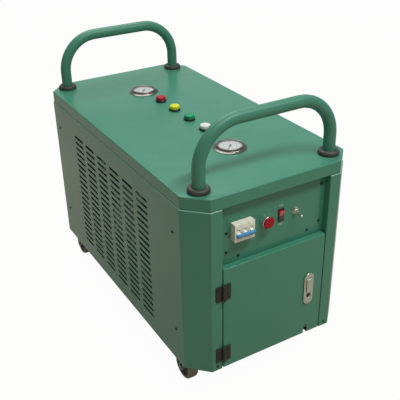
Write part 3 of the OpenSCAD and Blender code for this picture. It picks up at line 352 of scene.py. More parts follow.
# surface_grain: fine relief, broad mottling and specks, stretched where a finish was brushed or rolled
grain_group, grain_in, grain_out = shader_group(
    "surface_grain", {"Fine": 900, "Broad": 6, "Stretch X": 1, "Stretch Y": 1, "Stretch Z": 1},
    ("Grain", "Tone", "Specks"))
spot = shader_node(grain_group, "TexCoord")
stretch = shader_node(grain_group, "CombineXYZ")
stretched = shader_node(grain_group, "VectorMath", s_operation="MULTIPLY")
fine = shader_node(grain_group, "TexNoise", Detail=3.0, Roughness=0.6)
broad = noise_level(grain_group, grain_in, "Broad", 0.3, 0.7, Detail=4.0, Roughness=0.55)
nibs = shader_node(grain_group, "TexVoronoi", Randomness=1.0)
nib_scale = times(grain_group, grain_in, "Fine", 0.12)
nib_size = shader_node(grain_group, "MapRange", From_Min=0.05, From_Max=0.02)
for axis in "XYZ":
    wire(grain_group, (grain_in, "Stretch " + axis, stretch, axis))
wire(grain_group, (spot, "Object", stretched, 0), (stretch, 0, stretched, 1), (stretched, 0, fine, "Vector"),
     (grain_in, "Fine", fine, "Scale"), (fine, 0, grain_out, "Grain"), (broad, 0, grain_out, "Tone"))
wire(grain_group, (spot, "Object", nibs, "Vector"), (nib_scale, 0, nibs, "Scale"),
     (nibs, "Distance", nib_size, "Value"), (nib_size, 0, grain_out, "Specks"))

# worn_and_highlit_edges: a lighter tone along the outer edges of a piece, broken up by noise; it is partly
# wear from handling and partly a painted highlight where the edges catch the light
edge_group, edge_in, edge_out = shader_group("worn_and_highlit_edges", {"Radius": 0.0015, "Breaks": 90}, ("Edges",))
rounded_normal = shader_node(edge_group, "Bevel", s_samples=4)
true_normal = shader_node(edge_group, "NewGeometry")
likeness = shader_node(edge_group, "VectorMath", s_operation="DOT_PRODUCT")
bare = shader_node(edge_group, "MapRange", From_Min=0.97, From_Max=0.80)
broken = noise_level(edge_group, edge_in, "Breaks", 0.40, 0.62, Detail=3.0)
both = shader_node(edge_group, "Math", s_operation="MULTIPLY")
wire(edge_group, (edge_in, "Radius", rounded_normal, "Radius"), (rounded_normal, 0, likeness, 0),
     (true_normal, "Normal", likeness, 1), (likeness, "Value", bare, "Value"), (bare, 0, both, 0),
     (broken, 0, both, 1), (both, 0, edge_out, "Edges"))

# settled_dust: a thin film on surfaces that face up, in loose patches
dust_group, dust_in, dust_out = shader_group("settled_dust", {"Patches": 14}, ("Dust",))
true_normal = shader_node(dust_group, "NewGeometry")
upward = shader_node(dust_group, "SeparateXYZ")
facing_up = shader_node(dust_group, "MapRange", From_Min=0.55, From_Max=1.0)
drift = noise_level(dust_group, dust_in, "Patches", 0.42, 0.72, Detail=5.0, Roughness=0.65)
both = shader_node(dust_group, "Math", s_operation="MULTIPLY")
wire(dust_group, (true_normal, "Normal", upward, 0), (upward, "Z", facing_up, "Value"),
     (facing_up, 0, both, 0), (drift, 0, both, 1), (both, 0, dust_out, "Dust"))

dust_tone, speck_share, grain_depth, least_rough = (0.55, 0.53, 0.48), 0.5, 0.0004, 0.02


def finish(name, dark, light, rough, metal=0.0, fine=900, broad=6, stretch=(1, 1, 1), relief=0.15, spread=0.1,
           coat=0.0, edge=None, edge_share=0.5, edge_radius=0.0015, dust=0.0, specks=None, **sockets):
    """A material that drifts between two tones, with grain in its gloss and relief, edge wear with a painted
    edge highlight, and dust.
    """
    made = bpy.data.materials.new(name)
    made.use_nodes = True
    tree = made.node_tree
    shader = tree.nodes["Principled BSDF"]
    shader.inputs["Metallic"].default_value = metal
    shader.inputs["Coat Weight"].default_value = coat
    for label, value in sockets.items():
        shader.inputs[label.replace("_", " ")].default_value = value
    grain = shader_node(tree, "Group", s_node_tree=grain_group)
    grain.inputs["Fine"].default_value = fine
    grain.inputs["Broad"].default_value = broad
    for axis, amount in zip("XYZ", stretch):
        grain.inputs["Stretch " + axis].default_value = amount
    layers = [(light, grain, "Tone", 1.0)]
    if specks:
        layers.append((specks, grain, "Specks", speck_share))
    if dust:
        layers.append((dust_tone, shader_node(tree, "Group", s_node_tree=dust_group), "Dust", dust))
    # the edge tone is partly wear and partly a painted highlight along the edges
    if edge:
        rub = shader_node(tree, "Group", s_node_tree=edge_group)
        rub.inputs["Radius"].default_value = edge_radius
        layers.append((edge, rub, "Edges", edge_share))
    under = None
    weight, below, above, mixed = 0, 6, 7, 2
    for tone, source, label, share in layers:
        mix = shader_node(tree, "Mix", s_data_type="RGBA")
        wire(tree, (times(tree, source, label, share), 0, mix, weight))
        if under:
            wire(tree, (under, mixed, mix, below))
        else:
            mix.inputs[below].default_value = (*dark, 1)
        mix.inputs[above].default_value = (*tone, 1)
        under = mix
    gloss = shader_node(tree, "MapRange", To_Min=max(rough - spread, least_rough), To_Max=rough + spread)
    bump = shader_node(tree, "Bump", Strength=relief, Distance=grain_depth)
    wire(tree, (under, mixed, shader, "Base Color"), (grain, "Grain", gloss, "Value"),
         (gloss, 0, shader, "Roughness"), (grain, "Grain", bump, "Height"), (bump, 0, shader, "Normal"))
    return made


zinc = finish(
    "zinc_plate", (0.16, 0.155, 0.13), (0.34, 0.33, 0.28), 0.42, metal=0.85, fine=400, broad=40, relief=0.1,
    edge=(0.5, 0.48, 0.42), dust=0.3)
bolt_steel = finish(
    "bolt_steel", (0.22, 0.22, 0.21), (0.36, 0.36, 0.34), 0.36, metal=0.9, fine=1200, broad=60, relief=0.08)
tread = finish(
    "caster_tread", (0.2, 0.185, 0.125), (0.3, 0.275, 0.19), 0.6, fine=700, broad=30, relief=0.25,
    edge=(0.33, 0.31, 0.24), dust=0.25)
hub_plastic = finish(
    "caster_hub", (0.1, 0.1, 0.085), (0.16, 0.155, 0.13), 0.5, fine=1500, broad=30, relief=0.12, dust=0.3)

for corner, (cx, cy) in corners.items():
    pin = at(cx, cy)
    slab(eased(box_line(plate_w, plate_d, cx, cy), 5), plate_low, plate_top, edge=0.8)
    turned([(0, 88), (19.4, 88), (20.4, 88.7), (22.4, 94.5), (23.5, 96.3), (25, 97.2), (0, 97.2)], pin,
           steps=40)
    turned([(0, 77.8), (4.4, 77.8), (5, 78.4), (5, 89), (0, 89)], pin, steps=24)
    slab(hexagon(8, cx, cy), 77.9, 80.4, edge=0.4)
    for x in (cx - bolt_across, cx + bolt_across):
        for y in (cy - bolt_along, cy + bolt_along):
            slab(hexagon(6.4, x, y), 92, 96.2, edge=0.5)
            turned([(0, 96), (8.2, 96), (8.2, 97.1), (0, 97.1)], at(x, y), steps=24)
    piece(corner + "_caster_plate", zinc, "cabinet", "caster_steel", "caster_plates")

    turned([(5.1, 83.6), (22.6, 83.6), (23, 84.2), (22.6, 86.2), (21, 87.6), (5.1, 87.6)], pin,
           steps=40, ring=True)
    slab(eased(box_line(37, 46, cx, cy + 3), 7), 80.7, 83.8, edge=0.6, holes=[circle_line(5.1, cx, cy)])
    leg = eased([(-20, 83.4, 1), (26, 83.4, 1), (trail + leg_end, axle_z + 1, 0)], 1)
    leg += arc(leg_end, 0, -pi, 12, trail, axle_z)
    for low in (-leg_gap - leg_wall, leg_gap):
        slab(leg[::-1], low, low + leg_wall, edge=0.6, place=at(cx, cy, 0, "right"))
    piece(corner + "_caster_fork", zinc, corner + "_swivel", "caster_steel", corner + "_fork")

    axle = at(cx, cy + trail, axle_z, "right")
    turned(both_sides([(0, 23.4), (3.4, 23.4), (4, 22.8)]), axle, steps=24)
    slab(hexagon(7), 18.7, 22.4, edge=0.5, place=axle)
    slab(hexagon(7), -22.4, -18.7, edge=0.5, place=axle)
    piece(corner + "_axle_bolt", bolt_steel, corner + "_swivel", "caster_steel")

    tread_half = [(28.6, 13.2), (29.4, 13.8), (33.2, 14), (35.6, 12.8), (37, 10.2), (37.45, 6), (37.5, 0)]
    turned(both_sides(tread_half), axle, steps=64, ring=True)
    piece(corner + "_caster_tread", tread, corner + "_roller", "wheel", corner + "_wheel")

    hub_half = [(4.05, 15), (9.6, 15), (11, 14), (11.6, 6), (13, 5.2), (24, 5.2), (26, 6.5), (27, 12),
                (28.7, 12.6)]
    turned(both_sides(hub_half), axle, steps=64, ring=True)
    for low, high in ((-9.5, -4.8), (4.8, 9.5)):
        for k in range(5):
            slab(spun(box_line(15, 3.2, 19.2, 0), 2 * pi * k / 5), low, high, edge=0.4, place=axle)
    piece(corner + "_caster_hub", hub_plastic, corner + "_roller", "wheel")

# Floor tray and rear panel: 2 mm and 1.5 mm steel sheet, folded and powder coated in the cabinet's green.
# The tray's upturned edge stands just inside the side panels, and the rear panel is screwed to their strips.
half_width, half_depth, corner_cut = 230, 440, 50
rear_w, rear_low, rear_high, rear_y, rear_return, sheet_bend = 354, 122, 548.5, 438.4, 11, 2.4
green = finish(
    "green_powder_coat", (0.051, 0.222, 0.147), (0.056, 0.236, 0.157), 0.24, fine=1100, broad=3.5,
    relief=0.06, spread=0.05, edge=(0.16, 0.33, 0.25), edge_share=0.35, dust=0.02, specks=(0.12, 0.3, 0.22),
    Specular_IOR_Level=0.38)


def dress(look, *nodes):
    """Gives CAD nodes a finish and leaves their shape as it is."""
    for node in nodes:
        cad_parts[node].data.materials.clear()
        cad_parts[node].data.materials.append(look)


def fold_line(radius, steps=4):
    """A bend of sheet through a right angle, as steps of (way in from the edge, way back from the face)."""
    turns = [pi / 2 * k / steps for k in range(steps + 1)]
    return [(radius * (1 - sin(t)), radius * (1 - cos(t))) for t in turns]


dress(green, "base_tray")

rear_line = eased(box_line(rear_w, rear_high - rear_low, 0, (rear_low + rear_high) / 2), 3)
rear_rows = [[(x, rear_y - back, z) for x, z in inset(rear_line, way_in)]
             for way_in, back in fold_line(sheet_bend) + [(0, rear_return)]]
put(rear_rows, ends=[0])
piece("rear_panel_sheet", green, "cabinet", "paint", "rear_panel", sheet=1.5)

# Corner uprights: bare drawn steel tubes welded to tabs, which stand on the tray at its four cut corners.
# They carry the lid, and the legs of the handles go down inside them.
drawn_steel = finish(
    "drawn_steel", (0.2, 0.205, 0.205), (0.33, 0.335, 0.33), 0.4, metal=0.9, fine=500, broad=12,
    stretch=(1, 1, 0.06), relief=0.08, edge=(0.5, 0.5, 0.5), dust=0.15)
dress(drawn_steel, "frame_uprights")

# Lining of the service bay and electrical box: galvanised sheet with the spangle of its zinc left bare, and a
# box in grey enamel. Both are screwed in before the side panels go on.
dress(finish(
    "galvanised_sheet", (0.3, 0.32, 0.32), (0.46, 0.48, 0.48), 0.42, metal=0.75, fine=260, broad=55,
    relief=0.05, spread=0.14, edge=(0.6, 0.6, 0.6), dust=0.2), "bay_liner")
dress(finish(
    "grey_enamel", (0.4, 0.42, 0.4), (0.47, 0.49, 0.47), 0.45, fine=1200, broad=8, relief=0.12,
    edge=(0.6, 0.6, 0.58), dust=0.2), "electrical_box")

# Compressor and oil separator: welded steel shells in black stoving paint.
# The compressor stands on rubber mounts, which keep its shake out of the tray.
dress(finish(
    "stoving_black", (0.016, 0.017, 0.018), (0.03, 0.031, 0.032), 0.38, broad=10, relief=0.14,
    edge=(0.1, 0.1, 0.1), dust=0.25), "compressor", "oil_separator")
dress(finish(
    "mount_rubber", (0.014, 0.014, 0.014), (0.026, 0.025, 0.024), 0.72, fine=1500, broad=30, relief=0.25,
    dust=0.3), "compressor_mounts")

# Condenser and fan: aluminium fins pressed on copper tube, and a stamped aluminium fan on a painted motor.
# The fan's shroud is sheet in the cabinet's green and holds the motor behind the coil.
dress(finish(
    "aluminium_fins", (0.34, 0.35, 0.36), (0.52, 0.53, 0.54), 0.45, metal=0.85, fine=1800, broad=20,
    stretch=(0.02, 1, 0.02), relief=0.8, dust=0.2), "condenser_coil")
dress(finish(
    "stamped_aluminium", (0.42, 0.43, 0.43), (0.58, 0.59, 0.59), 0.36, metal=0.9, fine=700, broad=12,
    relief=0.1, edge=(0.7, 0.7, 0.7), dust=0.3), "fan_blades")
dress(finish(
    "motor_paint", (0.34, 0.41, 0.47), (0.42, 0.49, 0.55), 0.42, fine=1000, broad=9, relief=0.14,
    edge=(0.45, 0.48, 0.5), dust=0.3), "fan_motor")
dress(green, "fan_shroud")

# Pipework: drawn copper pipe brazed between compressor, coil, filter and valves, and a painted filter shell.
# The two service valves are turned from brass, and their levers are dipped in blue and red plastic.
dress(finish(
    "drawn_copper", (0.42, 0.17, 0.085), (0.62, 0.29, 0.16), 0.34, metal=0.95, fine=600, broad=18,
    relief=0.08), "refrigerant_pipes")
dress(finish(
    "filter_paint", (0.02, 0.115, 0.26), (0.035, 0.155, 0.33), 0.36, fine=1000, broad=9,
    relief=0.1), "filter_drier")
dress(finish(
    "machined_brass", (0.5, 0.34, 0.11), (0.66, 0.47, 0.18), 0.3, metal=0.95, broad=25, relief=0.1,
    edge=(0.8, 0.62, 0.3)), "service_valves")
for tone, node, dark, light in (
        ("blue", "suction_valve_lever", (0.012, 0.07, 0.26), (0.02, 0.10, 0.34)),
        ("red", "discharge_valve_lever", (0.32, 0.012, 0.012), (0.42, 0.02, 0.018))):
    dress(finish("dipped_" + tone, dark, light, 0.4, broad=14, relief=0.12, coat=0.2), node)

# Side panels: each is one blank, punched with rows of slots and folded round both cut corners.
# Its top edge is folded in to stiffen it, and black screws hold it to the uprights. A lighter green on the
# top band of the fold is a painted highlight where the fold catches the light.
painted_fold_highlight = finish(
    "green_fold_painted_highlight", (0.17, 0.36, 0.27), (0.24, 0.44, 0.34), 0.3, fine=1100, broad=30, relief=0.08)
panel_low, panel_high, top_bend, top_return, painted_highlight_depth = 100, 548.5, 3.0, 11, 2.2
strip_x, return_y, return_bend, corner_bend = 150, -422.2, 2.2, 4
slot_y = [80 * i for i in range(-3, 4)]
slot_z = [142 + 18 * j for j in range(21)]
slot_reach, slot_radius = 26.4, 3.8
slot_end = arc(slot_radius, -pi / 2, pi / 2, 8, slot_reach)


def side_line(t):
    """The left panel's outer face in plan, from the front return to the rear strip, moved inwards by t.
    Returns its points and the number of the one at which the columns of slots start."""
    w, d, c = half_width - t, half_depth - t, corner_cut - t * (2 - sqrt(2))
    line = eased([(-strip_x - t, return_y), (-strip_x - t, -d, return_bend), (c - w, -d), (-w, c - d),
                  (-w, d - c), (c - w, d), (-strip_x, d)], max(corner_bend - t, 0.5), closed=False)
    gap = next(i for i in range(1, len(line)) if line[i][1] - line[i - 1][1] > half_depth)
    return line[:gap] + [(-w, y) for y in slot_y] + line[gap:], gap


levels = [(panel_low, 0)] + [(z, 0) for z in slot_z]
levels += [(panel_high - drop, way_in) for drop, way_in in fold_line(top_bend)] + [(panel_high, top_return)]
for side, sign in (("left", 1), ("right", -1)):
    rows = []
    for z, t in levels:
        line, first_slot = side_line(t)
        rows.append([bench.verts.new((sign * x, y, z)) for x, y in line])
    for low, high in zip(rows, rows[1:]):
        for i in range(len(low) - 1):
            a, b, c, d = low[i + 1], low[i], high[i], high[i + 1]
            slotted = first_slot <= i < first_slot + len(slot_y) - 1 and low[0].co.z in slot_z[:-1]
            if not slotted:
                bench.faces.new((a, b, c, d))
                continue
            mid_y, mid_z = (a.co.y + b.co.y) / 2, (a.co.z + d.co.z) / 2
            far, near = [[bench.verts.new((a.co.x, mid_y + way * y, mid_z + way * z)) for y, z in slot_end]
                         for way in (1, -1)]
            for loop in ([a, *far, d], [d, far[-1], near[0], c], [c, *near, b], [b, near[-1], far[0], a]):
                bench.faces.new(loop)
    made = piece(side + "_panel_sheet", green, "cabinet", "paint", side + "_side_panel", sheet=1.0)
    # faces in the top band get the lighter green, a painted highlight along the fold
    made.data.materials.append(painted_fold_highlight)
    for face in made.data.polygons:
        face.material_index = 1 if face.center.z > (panel_high - painted_highlight_depth) / 1000 else 0

# Control panel: folded sheet behind the front face, cut out for its switches and held by black screws.
# The rocker's two places are marked in white print.
dress(green, "control_panel")
print_white = finish(
    "screen_print", (0.7, 0.72, 0.7), (0.8, 0.82, 0.8), 0.5, fine=2500, broad=80, relief=0.1)
panel_y, device_z, rocker_x = -422, 475, 21
panel_face = at(0, panel_y, 0, "front")
print_depth, word_height, word_rise = 0.04, 6.5, 25


def letters(words, height, place):
    """Adds flat words of a height in millimetres, centred on a place."""
    data = bpy.data.curves.new("words", "FONT")
    data.body = words
    data.size = height
    data.extrude = print_depth
    data.align_x = "CENTER"
    data.align_y = "CENTER"
    made = stand("words", data)
    bpy.context.view_layer.update()
    mesh = bpy.data.meshes.new_from_object(made.evaluated_get(bpy.context.evaluated_depsgraph_get()))
    mesh.transform(place)
    bench.from_mesh(mesh)
    bmesh.ops.remove_doubles(bench, verts=bench.verts, dist=0.001)
    bpy.data.meshes.remove(mesh)
    bpy.data.objects.remove(made)
    bpy.data.curves.remove(data)


for words, way in (("ON", 1), ("OFF", -1)):
    letters(words, word_height, at(rocker_x, panel_y - print_depth, device_z + way * word_rise, "front"))
piece("rocker_legend", print_white, "cabinet", "dial")

# Circuit breaker: three moulded poles side by side, clipped behind the panel, their nose through a cut-out.
# A blue lever in each pole is tied to the next by one bar, and hangs down when switched off.
ivory = finish(
    "ivory_moulding", (0.82, 0.8, 0.68), (0.88, 0.86, 0.75), 0.42, fine=1600, broad=25, relief=0.12,
    coat=0.1, edge=(0.84, 0.83, 0.75))
lever_blue = finish(
    "lever_blue", (0.026, 0.23, 0.5), (0.04, 0.29, 0.58), 0.3, fine=1600, broad=40, relief=0.08, coat=0.3,
    edge=(0.1, 0.36, 0.62))
breaker_x, pole, pole_gap, nose_h, nose_out, case_h = -91, 18, 0.25, 45, 18, 80
lever_y, lever_z, lever_hang, knob_pitch = -432, device_z + 2, 25, 16.9
for i in (-1, 0, 1):
    px = breaker_x + i * pole
    nose = eased(box_line(pole - pole_gap, nose_h, px, device_z), 0.8)
    window = eased(box_line(8.8, 14.6, px, lever_z), 0.6)
    slab(nose, 0, 4.4, edge=0.5, place=panel_face)
    slab(nose, 4, nose_out, edge=0.7, holes=[window], place=panel_face)
    tab = box_line(4.4, 1.1, px, device_z + 17.5)
    slab(tab, nose_out - 0.5, nose_out + 0.25, edge=0.2, place=panel_face)
    case = eased(box_line(pole - pole_gap, case_h, px, device_z), 1.2)
    slab(case, -48, -1.7, edge=0.6, place=panel_face)
    slab(box_line(pole - 0.6, nose_h - 1, px, device_z), -2, 1, edge=0.2, place=panel_face)
piece("breaker_moulding", ivory, "cabinet", "ivory", "breaker_body")

lever_hub = Matrix.Translation((breaker_x, lever_y, lever_z))
lever = lever_hub @ Matrix.Rotation(radians(lever_hang), 4, "X") @ at(facing="front")
for i in (-1, 0, 1):
    slab(circle_line(6.9), i * pole - 4.1, i * pole + 4.1, edge=0.4, place=lever_hub @ at(facing="right"))
    slab(eased(box_line(8.2, 6, i * pole, 0), 0.8), 3, 13, edge=0.6, place=lever)
piece("breaker_lever_hubs", ivory, "breaker_handle", "ivory")
slab(eased(box_line(50, 9), 1.2), 12.2, 17.2, edge=0.8, place=lever)
for i in (-1, 0, 1):
    knob_x = knob_pitch * i
    slab(eased(box_line(13.6 if i else 16, 10, knob_x, 0), 1.2), 12, 18, edge=0.7, steps=3, place=lever)
    for k in (-1, 0, 1):
        slab(box_line(11, 0.8, knob_x, 2.6 * k), 17.6, 18.3, edge=0.25, place=lever)
piece("breaker_tie_lever", lever_blue, "breaker_handle", "blue", "breaker_lever")

# Red push button: a star-cut cap of red plastic on a plunger that slides in the switch behind the panel.
# A chromed collar round it clamps the switch to the panel.
chrome = finish(
    "bright_chrome", (0.62, 0.67, 0.63), (0.72, 0.77, 0.73), 0.2, metal=0.92, fine=500, broad=14,
    relief=0.03, spread=0.05)
# The cap's pinkish edge tone is a painted highlight round its rims.
red_plastic = finish(
    "red_lens", (0.3, 0.002, 0.009), (0.4, 0.004, 0.015), 0.24, fine=1500, broad=60, relief=0.03,
    spread=0.05, edge=(0.72, 0.06, 0.09), Specular_IOR_Level=0.2)
button_x = -24
button = at(button_x, panel_y, device_z, "front")
turned([(8.1, -43), (11, -43), (11, 0), (15.6, 0), (16, 0.5), (16, 14.6), (15.8, 15.5), (15.3, 16),
        (14.9, 15.7), (14.8, 15), (14.8, 6), (8.1, 6)], button, ring=True)
piece("button_collar", chrome, "cabinet", "chrome", "button_bezel")
turned([(0, -12), (7.5, -12), (8, -11.5), (8, 11.2), (0, 11.2)], button, steps=32)
facets, star_z = 32, 18.2
rings = [(13.8, 11, 0), (14.4, 11.7, 0), (14.4, 17.4, 0), (13.2, 18.8, 0), (8.6, 19.4, 0.6)]
rows = put([[(x, y, h + ridge * cos(pi * k / 2)) for k, (x, y) in enumerate(circle_line(r, steps=facets))]
            for r, h, ridge in rings], button, ends=[0])
star = bench.verts.new(button @ Vector((0, 0, star_z)))
for k in range(facets):
    bench.faces.new((rows[-1][k - 1], rows[-1][k], star))
piece("button_cap", red_plastic, "button", "red_lens", "push_button", crease=8)

# Rocker switch: a black moulded frame that snaps into the panel, and a red paddle on two pips inside it.
# The paddle's upper half gets a lit red and its lower half a dark red: painted light and painted shade for
# how the light falls on its two faces.
black_moulding = finish(
    "black_moulding", (0.01, 0.01, 0.01), (0.02, 0.02, 0.019), 0.4, fine=1800, broad=30, relief=0.14,
    edge=(0.07, 0.07, 0.07), dust=0.1)
painted_lit_red = finish(
    "rocker_red", (0.6, 0.02, 0.045), (0.72, 0.045, 0.08), 0.22, fine=1500, broad=60, relief=0.04, coat=0.4)
painted_shade_red = finish(
    "red_painted_shade", (0.05, 0.006, 0.008), (0.075, 0.01, 0.012), 0.3, fine=1500, broad=50, relief=0.05,
    coat=0.3)
rocker_tilt, rocker_pivot = 10, 3.5
well = box_line(12.6, 27.6, rocker_x, device_z)
slab(eased(box_line(17.5, 34, rocker_x, device_z), 1.5), 0, 2, edge=0.7, holes=[well], place=panel_face)
slab(box_line(13.8, 28.8, rocker_x, device_z), -21, 0.5, edge=0.2, holes=[well], place=panel_face)
slab(box_line(12.8, 27.8, rocker_x, device_z), -14, -11.2, edge=0.2, place=panel_face)
piece("rocker_surround", black_moulding, "cabinet", "black_plastic", "rocker_frame")
paddle = [(-6.2, 0, 3), (-8, 12.1, 1.2), (0, 11.1, 1), (4, 3, 1), (4, -3, 1), (0, -11.1, 1), (-8, -12.1, 1.2)]
pips = Matrix.Translation((rocker_x, panel_y + rocker_pivot, device_z))
tilted = pips @ Matrix.Rotation(radians(rocker_tilt), 4, "X") @ at(facing="right")
slab(eased(paddle[::-1], 1), -6, 6, edge=0.5, place=tilted)
made = piece("rocker_red_paddle", painted_lit_red, "rocker", "red_lens", "rocker_paddle")
made.data.materials.append(painted_shade_red)
# faces below the pivot get the dark red, painted shade
for face in made.data.polygons:
    face.material_index = 1 if face.center.z < (device_z + 1) / 1000 else 0

# Toggle switch: a threaded bushing with a hexagon nut and a washer, which clamp it to the panel.
# A plated bat lever stands in the bushing on a ball.
nickel = finish(
    "satin_nickel", (0.38, 0.43, 0.36), (0.5, 0.55, 0.47), 0.34, metal=0.8, broad=30, stretch=(1, 1, 0.15),
    relief=0.06, edge=(0.72, 0.7, 0.62))
toggle_x, ball_out, ball_r, bat_r, bat_end, bat_tilt = 62, 5, 3.6, 4, 25, 12
thread_root, thread_crest, half_pitch = 5.55, 6.0, 0.42
bush = at(toggle_x, panel_y, device_z, "front")
thread = [(thread_crest if k % 2 else thread_root, 2.6 + half_pitch * k) for k in range(15)]
turned([(3.65, -1), (thread_crest, -1), (thread_crest, 2.4)] + thread
       + [(5.3, 9), (3.9, 9), (3.29, 6.6), (3.5, 6.05), (3.65, 5)], bush, ring=True)
slab(hexagon(8), 0.9, 3.4, edge=0.5, holes=[circle_line(5.6)], place=bush)
turned([(6.1, 0), (9.2, 0), (9.4, 0.5), (9.2, 0.9), (6.1, 0.9)], bush, ring=True)
slab(eased(box_line(13, 30), 1), -28, -1.7, edge=0.5, place=bush)
piece("toggle_bush_and_nut", nickel, "cabinet", "nickel", "toggle_bushing")
bat = [(0, -ball_r)] + arc(ball_r, -pi / 2, pi / 2, 10)[1:9] + [(2.2, 3.4), (2.7, 7), (3.6, 15), (3.95, 20)]
bat += arc(bat_r, 0, pi / 2, 6, 0, bat_end - bat_r)[:-1] + [(0, bat_end)]
ball = Matrix.Translation((toggle_x, panel_y - ball_out, device_z))
turned(bat, ball @ Matrix.Rotation(radians(bat_tilt), 4, "X") @ at(facing="front"), steps=32)
piece("toggle_bat_lever", nickel, "toggle", "nickel", "toggle_lever")

# Service door: one blank folded back all round into a shallow pan, notched at its lower edge for the hoses.
# It hangs on two hinges at the left and is cut out for its lock.
door_x, door_low, door_high, door_return = 148, 100, 391, 16.5
notch_x, notch_r, notch_top = 104, 6, 122
lock_x, lock_z = 104, 244
chain = eased([(notch_x + notch_r, door_low), (door_x, door_low), (door_x, door_high), (-door_x, door_high),
               (-door_x, door_low), (notch_x - notch_r, door_low)], 3, closed=False)
rows = []
for way_in, back in fold_line(sheet_bend) + [(0, door_return)]:
    moved = inset(chain, way_in)
    moved[0], moved[-1] = (notch_x + notch_r, door_low + way_in), (notch_x - notch_r, door_low + way_in)
    rows.append([bench.verts.new((x, back - half_depth, z)) for x, z in moved])
for low, high in zip(rows, rows[1:]):
    for i in range(1, len(low)):
        bench.faces.new((low[i - 1], high[i - 1], high[i], low[i]))
notch = arc(notch_r, pi, 0, 10, notch_x, notch_top)
rim = rows[0] + [bench.verts.new((x, -half_depth, z)) for x, z in notch]
cut = [bench.verts.new((x, -half_depth, z)) for x, z in oblong_line(22, 84, lock_x, lock_z)]
fill([rim, cut])
piece("door_pan", green, "door", "paint", "front_door", sheet=1.5)

# Hinges: black steel leaves screwed to the post and the door, each rolled into knuckles at one edge.
# A steel pin goes down through the knuckles of each pair.
black_oxide = finish(
    "black_oxide", (0.014, 0.013, 0.012), (0.026, 0.024, 0.022), 0.46, metal=0.3, broad=40, relief=0.18,
    edge=(0.1, 0.095, 0.09), dust=0.08)
hinge_x, hinge_y, hinge_z, leaf_half, leaf_wall = -149, -444.8, (146, 328), 21, 3
front_face = at(0, -half_depth, 0, "front")
head_r, head_rise = 3.6, 1.7
cross = [p for k in range(4) for p in spun([(1.9, -0.45), (1.9, 0.45), (0.45, 0.45)], pi / 2 * k)]


def screw_head(place, r=head_r, rise=head_rise):
    """A pan head with a cross recess, seated on the local plane."""
    recess = [(x * r / head_r, y * r / head_r) for x, y in cross]
    slab(circle_line(r, steps=24), 0, rise, edge=rise * 0.7, steps=4, holes=[recess], place=place,
         hole_edge=0.2)
    turned([(0, -0.2), (r * 0.8, -0.2), (r * 0.8, rise * 0.35), (0, rise * 0.35)], place, steps=16)


def upright_box(x_a, x_b, low, high):
    """A rectangle between two sides in any order and two heights."""
    return box_line(abs(x_b - x_a), high - low, (x_a + x_b) / 2, (low + high) / 2)


for side, body, name in ((-1, "cabinet", "post"), (1, "door", "door")):
    knuckles = [(-leaf_half, -7), (7, leaf_half)] if side < 0 else [(-6.8, 6.8)]
    for z in hinge_z:
        leaf = upright_box(hinge_x + side * 5.1, hinge_x + side * 20, z - leaf_half, z + leaf_half)
        slab(eased(leaf, 1.2), 0, leaf_wall, edge=0.6, place=front_face)
        for screw_z in (z - 13, z + 13):
            seat = at(hinge_x + side * 13, -half_depth - leaf_wall, screw_z, "front")
            screw_head(seat, r=3.0, rise=0.8)
        for a, b in knuckles:
            turned([(2.05, a), (4.1, a), (4.5, a + 0.4), (4.5, b - 0.4), (4.1, b), (2.05, b)],
                   at(hinge_x, hinge_y, z), steps=32, ring=True)
            web = upright_box(hinge_x + side * 2.8, hinge_x + side * 6, z + a, z + b)
            slab(web, 0.5, leaf_wall, edge=0.2, place=front_face)
    piece(name + "_hinge_set", black_oxide, body, "black_metal", name + "_hinge_leaves")
for z in hinge_z:
    turned(both_sides([(0, 21.8), (1.6, 21.8), (2, 21.3)]), at(hinge_x, hinge_y, z), steps=24)
piece("hinge_pin_pair", black_oxide, "cabinet", "frame_steel", "hinge_pins")

# Door lock: a die-cast face in satin nickel with a grip that folds into it on a pin, and below it a key plug.
# The plug sits back in its hole, has a slanted keyway and turns a steel cam behind the door. Its near-black
# steel tone is painted shade for the recess it sits in.
plug_steel_painted_shade = finish(
    "plug_steel_painted_shade", (0.045, 0.042, 0.036), (0.075, 0.07, 0.06), 0.38, metal=0.8, broad=40, relief=0.1,
    edge=(0.3, 0.29, 0.26))
grip_low, grip_high, grip_pivot, grip_half, grip_out = 233, 275, 271.5, 7.9, 3.5
grip_thick, pocket_half, plug_z, plug_r, plug_hole, key_slant = 3.4, 8.3, 224, 6.5, 6.6, -35
grip_centre = grip_low + 8
lock_face, plug = at(lock_x, -half_depth, 0, "front"), at(lock_x, -half_depth, plug_z, "front")
pocket = arc(pocket_half, pi, 2 * pi, 16, 0, grip_centre)
pocket += [(pocket_half, grip_high + 0.3), (-pocket_half, grip_high + 0.3)]
hole = circle_line(plug_hole, 0, plug_z)
slab(oblong_line(29, 93, 0, lock_z, steps=24), 0, 4, edge=1.6, steps=4, holes=[pocket, hole],
     place=lock_face)
slab(oblong_line(21, 83, 0, lock_z, steps=16), -15, -0.3, edge=0.3, holes=[hole], place=lock_face)
grip_pin = at(lock_x, -half_depth - grip_out, grip_pivot, "right")
turned(both_sides([(0, 8.5), (1.2, 8.5)]), grip_pin, steps=16)
piece("lock_face", nickel, "door", "nickel", "lock_body")
stations = [(grip_pivot + rise, grip_half, thick) for thick, rise in arc(grip_thick, radians(80), 0, 6)]
stations += [(grip_centre - down, half, grip_thick)
             for down, half in arc(grip_half, radians(90), radians(12), 8)]
rows = []
for z, half, thick in stations:
    section = eased(box_line(2 * half, 2 * thick, 0, grip_out), min(1.4, 0.8 * thick, 0.8 * half), 3)
    rows.append([(x, z, h) for x, h in section])
put(rows, lock_face, ends=(0, -1))
piece("lock_fold_grip", nickel, "door_grip", "nickel", "lock_grip")
keyway = spun(box_line(1.7, 8), radians(key_slant))
slab(circle_line(plug_r), -1.5, 2.5, edge=0.5, steps=3, holes=[keyway], place=plug)
